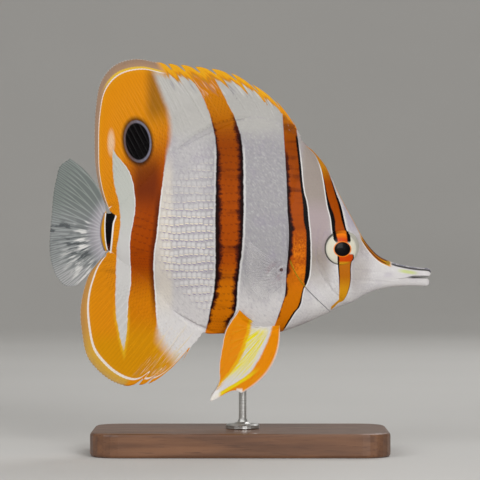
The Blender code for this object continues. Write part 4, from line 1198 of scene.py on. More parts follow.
PECTORAL_RAY_COUNT = 14
PECTORAL_OUT = 1.1
PECTORAL_SPLAY = 0.32

# How the render's fins are made: points across and along, and half thicknesses.
RAY_COLUMNS = 16
FIN_ROWS = 46
FIN_SINK = 1.3
PAIRED_SINK = 1.0
WEB_HALF = 0.13
EDGE_HALF = 0.09
ROOT_TUCK = 0.4
ROOT_RUN = 5.0
RAY_BREADTH = 0.34
FORK_STARTS = (0.28, 0.58)
EDGE_WAVE = 0.0066

# At the root, the median fins' share of the body's half thickness, and the other fins' half thickness.
MEDIAN_SHARE = 1.0
TAIL_ROOT, PAIRED_ROOT = 0.85, 1.0

# Half thickness of the soft rays at the root.
MEDIAN_RAY_HALF, TAIL_RAY_HALF, PELVIC_RAY_HALF, PECTORAL_RAY_HALF = 0.34, 0.3, 0.42, 0.24

# The direction across the fish.
SIDEWAYS = np.array([0.0, 1.0, 0.0])

# How solid the web, the rays and the root of the clear fins are, from 0 to 1.
TAIL_SOLID = (0.72, 0.9, 1.0)
PECTORAL_SOLID = (0.04, 0.14, 0.2)

# How far inside the free edge the pale line runs, as (place along the fin, millimetres) keys.
DORSAL_LINE = [(0.0, 5.4), (0.42, 5.4), (0.55, 4.8), (0.7, 3.5), (0.85, 3.1), (0.97, 2.2), (1.0, 1.6)]
ANAL_LINE = [(0.0, 2.6), (0.2, 3.2), (0.5, 4.1), (0.8, 3.8), (0.95, 3.0), (1.0, 1.4)]


def ray_fan(rays):
    """A function (place, share) over rays of root x, root z, tip x, tip z and bow, and the rays' places."""
    rays = np.array(rays, float)
    steps = np.hypot(*np.diff(rays[:, :2], axis=0).T) + np.hypot(*np.diff(rays[:, 2:4], axis=0).T)
    places = np.concatenate([[0.0], np.cumsum(steps)]) / steps.sum()
    lines = [curve(list(zip(places, rays[:, k]))) for k in range(5)]

    def at(place, share):
        root_x, root_z, tip_x, tip_z, bow = [line(place) for line in lines]
        across_x, across_z = tip_z - root_z, root_x - tip_x
        forward = np.where(across_x < 0, -1.0, 1.0) * bow / np.hypot(across_x, across_z)
        knee_x = (root_x + tip_x) / 2 + across_x * forward
        knee_z = (root_z + tip_z) / 2 + across_z * forward
        rest = 1 - share
        x = root_x * rest ** 2 + knee_x * 2 * share * rest + tip_x * share ** 2
        z = root_z * rest ** 2 + knee_z * 2 * share * rest + tip_z * share ** 2
        return x, z

    return at, places


def ray_places(places, kinds):
    """The columns of a fin from the places of its rays: place, offset from the nearest ray, and spacing."""
    columns, offsets, gaps, spiny = [], [], [], []
    for here, after, kind in zip(places, places[1:], kinds):
        shares = np.arange(RAY_COLUMNS) / RAY_COLUMNS
        columns.append(here + (after - here) * shares)
        offsets.append(np.where(shares < 0.5, shares, shares - 1.0))
        gaps.append(np.full(RAY_COLUMNS, after - here))
        spiny.append(np.full(RAY_COLUMNS, kind))
    last = [[places[-1]], [0.0], [places[-1] - places[-2]], [kinds[-1]]]
    parts = zip((columns, offsets, gaps, spiny), last)
    return [np.concatenate([*part, end])[:, None] for part, end in parts]


def ray_ridge(offset, spacing, share, spiny):
    """How much of a ray stands at a point: single near the root, forked twice towards the free edge."""
    fork = 0.25 * ease((share - FORK_STARTS[0]) / 0.5) * (1 - spiny)
    second = 0.125 * ease((share - FORK_STARTS[1]) / 0.4) * (1 - spiny)
    away = np.abs(np.abs(np.abs(offset) - fork) - second) * spacing
    breadth = (RAY_BREADTH + 0.14 * spiny) * (1 - 0.5 * np.clip(share, 0, 1))
    return np.exp(-(away / np.minimum(breadth, 0.3 * spacing)) ** 2)


def root_half(distance, root, thin):
    """Half a fin's thickness at a distance from its root: tucked in first, then thinning to its web."""
    tucked = root * (1 - ROOT_TUCK * np.clip(1 - distance / FIN_SINK, 0.0, 1.0))
    return thin + (tucked - thin) * np.exp(-np.maximum(distance - FIN_SINK, 0.0) / ROOT_RUN)


def fin_surface(fan, rays, kinds, reach, ray_half, root):
    """The middle surface of a fin with its half thickness and attributes, as arrays of columns by rows."""
    place, offset, gap, spiny = ray_places(rays, kinds)
    share = np.linspace(0.0, 1.0, FIN_ROWS + 1)[None, :] ** 1.15
    wave = 1 - EDGE_WAVE * (1 - spiny) * np.abs(np.sin(2 * math.pi * offset)) * share ** 6
    x, z = fan(place, share * reach(place) * wave)
    root_x, root_z = fan(place, 0.0 * share)
    tip_x, tip_z = fan(place, 0.0 * share + 1.0)
    length = np.hypot(tip_x - root_x, tip_z - root_z)
    spacing = np.hypot(*[a - b for a, b in zip(fan(place + gap / 2, share), fan(place - gap / 2, share))])
    ridge = ray_ridge(offset, np.maximum(spacing, 0.3), share, spiny)
    ray = (ray_half + 0.25 * spiny) * (1 - 0.7 * share ** 1.5)
    half = WEB_HALF + (ray - WEB_HALF) * ridge
    half = root_half(share * length, root(root_x), half)
    edge = ease((share - 0.9) / 0.1)
    half = half + (EDGE_HALF - half) * edge * (1 - 0.5 * ridge * spiny)
    margin = length * reach(place) * (1 - share)
    labels = {"ray": ridge, "margin": margin, "root": share * length}
    labels.update({"place": place + 0 * share, "spiny": spiny + 0 * share})
    return x, z, half, labels, place


def sheet_mesh(inner, outer):
    """The points and triangles of a solid between two grids of points, joined round their borders."""
    columns, rows = inner.shape[:2]
    points = np.vstack([inner.reshape(-1, 3), outer.reshape(-1, 3)])
    front = grid_faces(columns, rows)
    back = front[:, ::-1] + columns * rows
    index = np.arange(columns * rows).reshape(columns, rows)
    border = np.concatenate([index[:, 0], index[-1, 1:], index[-2::-1, -1], index[0, -2:0:-1]])
    after = np.roll(border, -1)
    rim = np.stack([after, border, border + columns * rows, after + columns * rows], axis=-1)
    return points, np.vstack([front, back, rim])


def make_fin(name, replaced, material, middle, normal, half, labels):
    inner = middle - normal * half[..., None]
    outer = middle + normal * half[..., None]
    points, faces = sheet_mesh(inner, outer)
    attributes = {
        label: np.tile(np.broadcast_to(values, half.shape).reshape(-1), 2)
        for label, values in labels.items()
    }
    piece = make_piece(name, points, faces, material, replaced, attributes)
    turn_outwards(piece)
    return piece


def notched(places, notches):
    """How much of the full ray length the web reaches at each place of a spiny fin."""
    shape = curve(NOTCH_SHAPE)

    def reach(place):
        left = np.ones_like(place)
        for here, after, depth in zip(places, places[1:], notches):
            share = (place - here) / (after - here)
            left = np.where((share > 0) & (share < 1), 1 - depth * shape(share), left)
        return left

    return reach


def median_fin(name, replaced, line, keys, spines, notches, soft_count, pale_line, away, material):
    """A dorsal or anal fin in the middle plane, with spines in front and forked soft rays behind."""
    roots = [(root_x, float(line(root_x)) + away, tip_x, tip_z, bow) for root_x, tip_x, tip_z, bow in keys]
    fan, places = ray_fan(roots)
    soft = np.linspace(places[spines], 1.0, soft_count)
    rays = np.concatenate([places[:spines], soft])
    kinds = [1.0] * spines + [0.0] * (soft_count - 1)
    reach = notched(places, notches)

    def root(x):
        return MEDIAN_SHARE * half_width(x, line(x))

    x, z, half, labels, place = fin_surface(fan, rays, kinds, reach, MEDIAN_RAY_HALF, root)
    labels["inside"] = labels["margin"] - curve(pale_line)(place)
    labels["spiny"] = ease((places[spines] - place) / 0.03 + 0.5) + 0 * x
    middle = np.stack([x, 0 * x, z], axis=-1)
    make_fin(name, replaced, material, middle, SIDEWAYS, half, labels)


def make_dorsal(material, ray_count):
    keys = SPINY_DORSAL_RAYS + SOFT_DORSAL_RAYS
    median_fin(
        "dorsal_fin", ("spiny_dorsal_fin", "soft_dorsal_fin"), back_line, keys, len(SPINY_DORSAL_RAYS) - 1,
        DORSAL_NOTCHES, ray_count, DORSAL_LINE, -FIN_SINK, material,
    )


def make_anal(material, ray_count):
    median_fin(
        "anal_fin_web", ("anal_fin",), belly_line, ANAL_RAYS, len(ANAL_NOTCHES), ANAL_NOTCHES,
        ray_count, ANAL_LINE, FIN_SINK, material,
    )


def make_tail(material, ray_count):
    keys = [(float(tail_root_x(z)) + FIN_SINK, z, tip_x, tip_z, bow) for z, tip_x, tip_z, bow in TAIL_RAYS]
    fan, _ = ray_fan(keys)
    rays = np.linspace(0.0, 1.0, ray_count)
    kinds = [0.0] * (len(rays) - 1)
    x, z, half, labels, _ = fin_surface(fan, rays, kinds, np.ones_like, TAIL_RAY_HALF, lambda x: TAIL_ROOT)
    wave = np.sin((z - BODY_MIDDLE_Z) / TAIL_WAVE_LENGTH)
    sway = TAIL_WAVE * ease((TAIL_ROOT_X - x) / TAIL_WAVE_RUN) * wave
    middle = np.stack([x, sway, z], axis=-1)
    make_fin("tail_web", ("tail_fin",), material, middle, SIDEWAYS, half, labels)


def pelvic_out(x, z):
    """How far out the pelvic fin lies: splayed below the belly, and clear of the flank above it."""
    splayed = PELVIC_OUT + PELVIC_SPLAY * np.hypot(x - PELVIC_MIDDLE[0], z - PELVIC_MIDDLE[1])
    over_flank = ease((z - belly_line(x) + 1.5) / 3.0)
    return splayed + np.maximum(half_width(x, z) + PELVIC_CLEAR - splayed, 0.0) * over_flank


def pectoral_out(x, z):
    """How far out the pectoral fin lies: it leans away from the flank towards its tips."""
    root_x = PECTORAL_RAYS[0][0]
    return half_width(root_x, z) + PECTORAL_OUT + PECTORAL_SPLAY * (root_x - x)


def paired_fin(name, replaced, keys, count, side, out_at, ray_half, material):
    """A fin on one side, its root sunk in the skin."""
    fan, _ = ray_fan(keys)
    rays = np.linspace(0.0, 1.0, count)
    kinds = [0.0] * (count - 1)
    x, z, half, labels, place = fin_surface(fan, rays, kinds, np.ones_like, ray_half, lambda x: PAIRED_ROOT)
    lifted = ease(labels["root"] / 4.0)
    skin = half_width(x, z) - PAIRED_SINK
    middle = np.stack([x, side * (skin + (out_at(x, z) - skin) * lifted), z], axis=-1)
    normal = np.cross(np.gradient(middle, axis=0), np.gradient(middle, axis=1))
    normal /= np.maximum(np.linalg.norm(normal, axis=-1, keepdims=True), 1e-9)
    labels["leading"] = ease(1 - place / 0.02) * ease(labels["root"] / 6.0)
    make_fin(name, (replaced,), material, middle, normal, half * 0.9, labels)


def make_paired_fins(pelvic_material, pectoral_material, pelvic_rays, pectoral_rays):
    for side_name, side in (("right", -1), ("left", 1)):
        paired_fin(
            "pelvic_web_" + side_name, "pelvic_fin_" + side_name, PELVIC_RAYS, pelvic_rays, side,
            pelvic_out, PELVIC_RAY_HALF, pelvic_material,
        )
        paired_fin(
            "pectoral_web_" + side_name, "pectoral_fin_" + side_name, PECTORAL_RAYS, pectoral_rays, side,
            pectoral_out, PECTORAL_RAY_HALF, pectoral_material,
        )


# Scales, in millimetres: how far apart they stand along and across the body, and how big each is.
TRUNK_PITCH, TRUNK_ROW = 2.07, 3.2
TRUNK_PLATE = (3.0, 3.9)
FINE_PITCH, FINE_ROW = 1.15, 1.2
FINE_PLATE = (1.9, 1.55)
PLATE_THICKNESS = 0.12
PLATE_ROOT = -0.14
PLATE_TIP = 0.2
PLATE_ROUND = 0.1
SCALE_TURN = math.radians(3.0)
SCALE_SPREAD = 0.06
SCALE_SEED = 11
SCALE_SHIFT = 0.12
PATCH = 0.003
EYE_CLEAR = 8.0
NOSTRIL_CLEAR = 1.4
FIN_SCALE_REACH = 13.0
FIN_SCALE_SHARE = 0.45
FIN_SCALE_LIFT = 0.1
BORDER = 7.0
GIRTH_STEPS = 24
# Where the rows lie in side view: the lowest one's z, and each coat's rear x, front x and height.
LOWEST_ROW = 46.0
TRUNK_FIELD = (-51.0, 40.0, 110.0)
BORDER_FIELD = (-56.0, 42.0, 100.0)
HEAD_FIELD = (17.0, 60.0, 96.0)
# How far the scales stand out of the skin, as shares of a plate's own rise.
FLAT_STAND, HEAD_STAND, FIN_STAND = 0.22, 0.18, 0.2


def girth(x, z):
    """The distance along a section of the skin from the belly up to a height."""
    shares = np.linspace(0.0, 1.0, GIRTH_STEPS)[:, None]
    heights = belly_line(x) + (z - belly_line(x)) * shares
    widths = half_width(x + 0 * heights, heights)
    return np.hypot(np.diff(widths, axis=0), np.diff(heights, axis=0)).sum(axis=0)


def skin_place(x, z, side):
    """Points of the skin, and its outward directions there."""
    step = SLOPE_STEP

    def out(at_x, at_z):
        return half_width(at_x, at_z) + relief(at_x, at_z, at_x - gill_edge(at_z))

    slope_x = (out(x + step, z) - out(x - step, z)) / (2 * step)
    slope_z = (out(x, z + step) - out(x, z - step)) / (2 * step)
    outward = np.stack([-slope_x, side + 0 * x, -slope_z], axis=-1)
    outward = outward / np.linalg.norm(outward, axis=-1, keepdims=True)
    return np.stack([x, side * out(x, z), z], axis=-1), outward


def edge_depth(x, z):
    """How far inside the body's outline a point lies, in side view."""
    depth = 1e9 + 0 * x
    along = np.linspace(-59.5, 46.0, 600)
    for line in (back_line, belly_line):
        heights = line(along)
        for k in range(0, len(x), 2000):
            part = slice(k, k + 2000)
            away = np.hypot(x[part, None] - along, z[part, None] - heights).min(axis=1)
            depth[part] = np.minimum(depth[part], away)
    return np.where((z < back_line(x)) & (z > belly_line(x)), depth, -1.0)


def staggered(field, pitch, row_height):
    """The x, z and row of every place in a field of rows, each second row half a pitch further on."""
    rear, front, height = field
    x, row = np.meshgrid(np.arange(rear, front, pitch), np.arange(int(height / row_height)))
    z = LOWEST_ROW + row_height * row
    return (x + 0.5 * pitch * (row % 2)).ravel(), z.ravel(), row.ravel()


def trunk_places(pitch, row_height):
    """Where the trunk's scales sit in side view: in rows that rise to the front and bend up at the rear."""
    x, z, row = staggered(TRUNK_FIELD, pitch, row_height)
    wave = 0.02 * x + 0.012 * np.maximum(-26.0 - x, 0.0) ** 2 + 0.3 * np.sin(0.33 * x + 1.7 * row)
    z = z + wave
    shift = np.random.default_rng(SCALE_SEED).normal(0.0, SCALE_SHIFT, (2, len(x)))
    x, z = x + shift[0], z + shift[1]
    clear = (edge_depth(x, z) > BORDER - 1.2) & (x < gill_edge(z) - 1.4)
    return x[clear], z[clear]


def border_places(pitch, row_height):
    """Where the small scales sit that lead over from the trunk's to those of the dorsal and anal fins."""
    x, z, _ = staggered(BORDER_FIELD, pitch, row_height)
    z = z + 0.15 * np.sin(x)
    depth = edge_depth(x, z)
    clear = (depth > 0.2) & (depth < BORDER + 0.5) & (x < gill_edge(z) - 1.0) & (x > tail_root_x(z) + 2.5)
    return x[clear], z[clear]


def head_places(pitch, row_height):
    """Where the small scales of the head sit in side view."""
    x, z, _ = staggered(HEAD_FIELD, pitch, row_height)
    z = z + 0.05 * x + 0.15 * np.sin(x)
    clear = (z > belly_line(x) + 0.7) & (z < back_line(x) - 0.7) & (x > gill_edge(z) + 0.9)
    clear &= np.hypot(x - EYE_X, z - EYE_Z) > EYE_CLEAR
    for nostril_x, nostril_z in NOSTRILS:
        clear &= np.hypot(x - nostril_x, z - nostril_z) > NOSTRIL_CLEAR
    return x[clear], z[clear]


def plate_template(steps):
    """One scale of size 1 by 1: its root at +X, its free round edge at -X, and its outer side up."""
    lengths, breadths = np.linspace(0.0, 1.0, steps + 1), np.linspace(-1.0, 1.0, steps + 1)
    along, across = np.meshgrid(lengths, breadths, indexing="ij")
    x = 0.5 - along * (1 - 0.24 * across ** 2) - 0.1 * (1 - along) * across ** 2
    y = 0.5 * across * (1 - 0.12 * (2 * along - 1) ** 2)
    z = PLATE_ROOT + (PLATE_TIP - PLATE_ROOT) * along ** 0.8 - PLATE_ROUND * across ** 2
    top = np.stack([x, y, z], axis=-1)
    points, faces = sheet_mesh(top - np.array([0.0, 0.0, PLATE_THICKNESS]), top)
    mesh = bpy.data.meshes.new("plate")
    mesh.from_pydata(points, [], faces.tolist())
    border = np.maximum(np.abs(across), along)
    # level, shade and rim place the scales' painted shade and painted highlights; shade also sets their
    # roughness.
    for label, values in (("level", across), ("shade", along), ("rim", border)):
        mesh.attributes.new(label, "FLOAT", "POINT").data.foreach_set("value", np.tile(values.ravel(), 2))
    patch = np.stack([along, (across + 1) / 2, 0 * along], axis=-1)
    layer = mesh.attributes.new("patch", "FLOAT_VECTOR", "POINT")
    layer.data.foreach_set("vector", np.tile(patch.reshape(-1, 3), (2, 1)).ravel())
    plate = bpy.data.objects.new("plate", mesh)
    bpy.context.scene.collection.objects.link(plate)
    turn_outwards(plate)
    # Sharp rims, so that each scale is shaded as flat as it lies.
    on_rim = np.tile((border > 0.999).ravel() | (along.ravel() < 0.001), 2)
    for edge in mesh.edges:
        first, second = edge.vertices
        same_side = (first < along.size) == (second < along.size)
        edge.use_edge_sharp = bool(on_rim[first] and on_rim[second] and same_side)
    return plate


def scale_tree():
    """A node tree that sets a plate on every point, turns and sizes each a little, and lays out its map."""
    tree = bpy.data.node_groups.new("scales", "GeometryNodeTree")
    tree.interface.new_socket("Geometry", in_out="INPUT", socket_type="NodeSocketGeometry")
    inputs = [
        ("Plate", "NodeSocketObject"), ("Material", "NodeSocketMaterial"), ("Size", "NodeSocketVector"),
        ("Turn", "NodeSocketFloat"), ("Spread", "NodeSocketFloat"), ("Patch", "NodeSocketFloat"),
        ("Seed", "NodeSocketInt"),
    ]
    for label, kind in inputs:
        tree.interface.new_socket(label, in_out="INPUT", socket_type=kind)
    tree.interface.new_socket("Geometry", in_out="OUTPUT", socket_type="NodeSocketGeometry")

    def add(kind, settings=None, links=None, output=0):
        made = tree.nodes.new(kind)
        for label, setting in (settings or {}).items():
            setattr(made, label, setting)
        for label, value in (links or {}).items():
            if isinstance(value, bpy.types.NodeSocket):
                tree.links.new(value, made.inputs[label])
            else:
                made.inputs[label].default_value = value
        return made.outputs[output]

    def named(label, kind="FLOAT_VECTOR"):
        return add("GeometryNodeInputNamedAttribute", {"data_type": kind}, {"Name": label}, "Attribute")

    def number(operation, first, second):
        return add("ShaderNodeMath", {"operation": operation}, {0: first, 1: second})

    def vector(operation, inputs):
        return add("ShaderNodeVectorMath", {"operation": operation}, inputs)

    def random(low, high):
        inputs = {2: low, 3: high, "Seed": given["Seed"]}
        return add("FunctionNodeRandomValue", {"data_type": "FLOAT"}, inputs, 1)

    given = tree.nodes.new("NodeGroupInput").outputs
    plate = add("GeometryNodeObjectInfo", links={"Object": given["Plate"]}, output="Geometry")
    axes = {"Primary Axis": named("outward"), "Secondary Axis": named("lie")}
    lie = add("FunctionNodeAxesToRotation", {"primary_axis": "Z", "secondary_axis": "X"}, axes)
    angle = random(number("MULTIPLY", given["Turn"], -1.0), given["Turn"])
    spin = add("FunctionNodeEulerToRotation", links={0: add("ShaderNodeCombineXYZ", links={"Z": angle})})
    turns = {"Rotation": lie, "Rotate By": spin}
    turned = add("FunctionNodeRotateRotation", {"rotation_space": "LOCAL"}, turns)
    spread = random(number("SUBTRACT", 1.0, given["Spread"]), number("ADD", 1.0, given["Spread"]))
    size = number("MULTIPLY", spread, named("size", "FLOAT"))
    flat = vector("SCALE", {0: given["Size"], "Scale": size})
    raised = add("ShaderNodeCombineXYZ", links={"X": 1.0, "Y": 1.0, "Z": named("stand", "FLOAT")})
    placed = add("GeometryNodeInstanceOnPoints", links={
        "Points": given["Geometry"], "Instance": plate, "Rotation": turned,
        "Scale": vector("MULTIPLY", {0: flat, 1: raised}),
    })
    shrunk = vector("SCALE", {0: named("patch"), "Scale": given["Patch"]})
    mapped = add("GeometryNodeStoreNamedAttribute", {"data_type": "FLOAT2", "domain": "CORNER"}, {
        "Geometry": add("GeometryNodeRealizeInstances", links={0: placed}),
        "Name": "OFBake", "Value": vector("ADD", {0: named("root"), 1: shrunk}),
    })
    finished = add("GeometryNodeSetMaterial", links={"Geometry": mapped, "Material": given["Material"]})
    tree.links.new(finished, tree.nodes.new("NodeGroupOutput").inputs["Geometry"])
    return tree


def set_scales(name, tree, plate, places, plate_size, material, sizes):
    """A coat of scales as one plain mesh, from arrays of point, outward, lie, size, stand and map root."""
    point, outward, lie, size, stand, root = places
    mesh = bpy.data.meshes.new(name)
    mesh.from_pydata(point * MM, [], [])
    for label, kind, field, values in (
        ("outward", "FLOAT_VECTOR", "vector", outward), ("lie", "FLOAT_VECTOR", "vector", lie),
        ("size", "FLOAT", "value", size), ("stand", "FLOAT", "value", stand),
        ("root", "FLOAT_VECTOR", "vector", root),
    ):
        layer = mesh.attributes.new(label, kind, "POINT")
        layer.data.foreach_set(field, np.asarray(values, np.float32).ravel())
    holder = bpy.data.objects.new(name + "_points", mesh)
    bpy.context.scene.collection.objects.link(holder)
    modifier = holder.modifiers.new("scales", "NODES")
    modifier.node_group = tree
    values = {
        "Plate": plate, "Material": material, "Size": (plate_size[0] * MM, plate_size[1] * MM, MM),
        "Turn": sizes.scale_turn, "Spread": sizes.scale_spread, "Patch": PATCH, "Seed": sizes.scale_seed,
    }
    for socket in tree.interface.items_tree:
        if socket.in_out == "INPUT" and socket.name in values:
            modifier[socket.identifier] = values[socket.name]
    graph = bpy.context.evaluated_depsgraph_get()
    finished = holder.evaluated_get(graph)
    made = bpy.data.meshes.new_from_object(finished, preserve_all_data_layers=True, depsgraph=graph)
    bpy.data.objects.remove(holder)
    if not made.polygons:
        raise RuntimeError(f"{name}: the node tree made no scales")
    if outward[0][1] > 0:
        level = made.attributes["level"]
        flipped = np.empty(len(made.vertices), np.float32)
        level.data.foreach_get("value", flipped)
        level.data.foreach_set("value", -flipped)
    made.name = name
    made.shade_smooth()
    piece = bpy.data.objects.new(name, made)
    bpy.context.scene.collection.objects.link(piece)
    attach(piece, BODY)
    return piece


def body_rows(x, z, side, size, stand):
    """Everything that a coat needs to know of its places on the skin of one side."""
    point, outward = skin_place(x, z, side)
    lie = np.tile([1.0, 0.0, 0.0], (len(x), 1))
    u = 0.02 + 0.45 * (x + 60.0) / 145.0 + 0.5 * (side > 0)
    v = 0.02 + 0.75 * girth(x, z) / 100.0
    return point, outward, lie, size + 0 * x, stand + 0 * x, np.stack([u, v, 0 * u], axis=-1)


def fin_rows(line, keys, away, side, map_v, pitch, row_height):
    """The same for the scales that run out over the base of a dorsal or anal fin."""
    rays = [(root_x, float(line(root_x)) + away, tip_x, tip_z, bow) for root_x, tip_x, tip_z, bow in keys]
    fan, _ = ray_fan(rays)
    rows = []
    for row, distance in enumerate(np.arange(0.9, FIN_SCALE_REACH, row_height)):
        root = np.array(fan(np.array([0.0, 1.0]), np.array([0.0, 0.0])))
        count = int(np.hypot(*np.diff(root, axis=1)[:, 0]) / pitch)
        place = (np.arange(count) + 0.5 * (row % 2) + 0.25) / count
        length = np.hypot(*[a - b for a, b in zip(fan(place, np.ones(count)), fan(place, np.zeros(count)))])
        share = distance / length
        keep = share < FIN_SCALE_SHARE
        x, z = fan(place, share)
        near_x, near_z = fan(place, share - 0.02)
        base_x = fan(place, 0.0 * share)[0]
        at_root = MEDIAN_SHARE * half_width(base_x, line(base_x))
        half = root_half(distance, at_root, WEB_HALF + FIN_SCALE_LIFT)
        slope = (half - WEB_HALF - FIN_SCALE_LIFT) / ROOT_RUN * (distance > FIN_SINK)
        lie = np.stack([near_x - x, 0 * x, near_z - z], axis=-1)
        lie /= np.linalg.norm(lie, axis=-1, keepdims=True)
        point = np.stack([x, side * half + 0 * x, z], axis=-1)
        outward = np.array([0.0, float(side), 0.0]) - lie * slope[:, None]
        outward /= np.linalg.norm(outward, axis=-1, keepdims=True)
        u = 0.02 + 0.45 * place + 0.5 * (side > 0)
        root_place = np.stack([u, map_v + 0.006 * row + 0 * u, 0 * u], axis=-1)
        size = (1 - 0.35 * distance / FIN_SCALE_REACH) + 0 * x
        rows.append([part[keep] for part in (point, outward, lie, size, FIN_STAND * size, root_place)])
    return [np.concatenate(parts) for parts in zip(*rows)]


def make_scales(material, sizes):
    """The trunk's large scales, and the small ones of the borders, the head and the fins' bases."""
    pitch, row_height = sizes.trunk_pitch / MM, sizes.trunk_row / MM
    fine = (sizes.fine_pitch / MM, sizes.fine_row / MM)
    tree = scale_tree()
    plates = {4: plate_template(4), 3: plate_template(3)}

    def coat(name, places, steps, plate_size):
        set_scales(name, tree, plates[steps], places, plate_size, material, sizes)

    for side_name, side in (("right", -1), ("left", 1)):
        x, z = trunk_places(pitch, row_height)
        inner = ease((edge_depth(x, z) - BORDER + 1.0) / 9.0)
        raised = (0.05 + 0.25 * (1 - ease((x + 12.0) / 10.0))) * inner
        stand = FLAT_STAND + raised * (1 - 0.6 * ease((z - 110.0) / 14.0))
        rows = body_rows(x, z, side, 0.82 + 0.18 * inner, stand)
        coat("trunk_scales_" + side_name, rows, 4, TRUNK_PLATE)
        x, z = border_places(*fine)
        rows = body_rows(x, z, side, 1.0, FLAT_STAND)
        coat("border_scales_" + side_name, rows, 3, FINE_PLATE)
        x, z = head_places(*fine)
        size = 1.0 - 0.45 * ease((x - 46.0) / 14.0)
        rows = body_rows(x, z, side, size, HEAD_STAND * size)
        coat("head_scales_" + side_name, rows, 3, FINE_PLATE)
        dorsal = fin_rows(back_line, SPINY_DORSAL_RAYS + SOFT_DORSAL_RAYS, -FIN_SINK, side, 0.80, *fine)
        anal = fin_rows(belly_line, ANAL_RAYS, FIN_SINK, side, 0.90, *fine)
        both = [np.concatenate(pair) for pair in zip(dorsal, anal)]
        coat("fin_scales_" + side_name, both, 3, FINE_PLATE)
    for plate in plates.values():
        bpy.data.objects.remove(plate)


# The eyeball's mesh, and the low dome of its pupil.
EYE_SEGMENTS = 96
EYE_RINGS = 48
PUPIL_DOME = 0.12
PUPIL_GROOVE = 0.07

# The dark band across the iris, as (z, x) keys: its black and its glow over the pupil, its front under it.
IRIS_BLACK_REAR = [(85.0, 39.9), (88.2, 39.7), (89.5, 38.9), (92.5, 38.6), (94.0, 38.4)]
IRIS_BLACK_FRONT = [(85.0, 45.7), (88.2, 45.9), (89.2, 46.1), (92.5, 45.2), (94.0, 44.6)]
IRIS_GLOW_REAR = [(85.0, 40.4), (88.2, 40.7), (89.2, 40.6), (92.5, 39.9), (94.0, 39.7)]
IRIS_GLOW_FRONT = [(85.0, 44.8), (88.2, 44.7), (89.2, 44.6), (92.5, 44.2), (94.0, 43.9)]
IRIS_UNDER_FRONT = [(78.0, 44.6), (79.6, 46.0), (81.0, 47.2), (82.4, 47.4), (84.0, 46.6)]
PUPIL_HALF_LENGTH, PUPIL_HALF_HEIGHT = 3.35, 2.95


def make_eyes(material):
    """Each eyeball bulges over the pupil, with a shallow groove round it."""
    across = np.linspace(0.0, math.pi, EYE_RINGS + 1)[1:-1][:, None]
    round_it = np.linspace(0.0, 2 * math.pi, EYE_SEGMENTS, endpoint=False)[None, :]
    flat = EYE_RADIUS * np.sin(across)
    ball = np.stack([
        flat * np.cos(round_it), EYE_DEPTH_RADIUS * np.cos(across) + 0 * round_it, flat * np.sin(round_it),
    ], axis=-1)
    for side_name, side in (("right", -1), ("left", 1)):
        placed = eye_frame(side)
        turn = np.array(placed.to_3x3())
        middle = np.array(placed.translation)
        grid = ball.copy()
        grid[..., 1] *= side
        points = grid.reshape(-1, 3) @ turn.T + middle
        depth = side * EYE_DEPTH_RADIUS
        poles = [middle + turn @ np.array([0.0, reach, 0.0]) for reach in (depth, -depth)]
        points = np.vstack([points, poles])
        away = np.hypot(points[:, 0] - PUPIL_X, points[:, 2] - PUPIL_Z)
        outer = (points[:, 1] - middle[1]) * side > 0
        dome = PUPIL_DOME * np.sqrt(np.clip(1 - (away / PUPIL_RADIUS) ** 2, 0.0, 1.0))
        points[:, 1] += side * (dome - PUPIL_GROOVE * bump(away, PUPIL_RADIUS + 0.25, 0.3)) * outer
        rings = grid_faces(EYE_RINGS - 1, EYE_SEGMENTS)
        closing = [
            [i * EYE_SEGMENTS + EYE_SEGMENTS - 1, (i + 1) * EYE_SEGMENTS + EYE_SEGMENTS - 1,
             (i + 1) * EYE_SEGMENTS, i * EYE_SEGMENTS] for i in range(EYE_RINGS - 2)
        ]
        first, last, count = 0, (EYE_RINGS - 2) * EYE_SEGMENTS, len(points) - 2
        after = [(k + 1) % EYE_SEGMENTS for k in range(EYE_SEGMENTS)]
        caps = [[first + k, first + after[k], count] for k in range(EYE_SEGMENTS)]
        caps += [[last + k, last + after[k], count + 1] for k in range(EYE_SEGMENTS)]
        faces = rings.tolist() + closing + caps
        piece = make_piece(
            "eyeball_" + side_name, points, faces, material, ("eye_" + side_name,),
        )
        turn_outwards(piece)


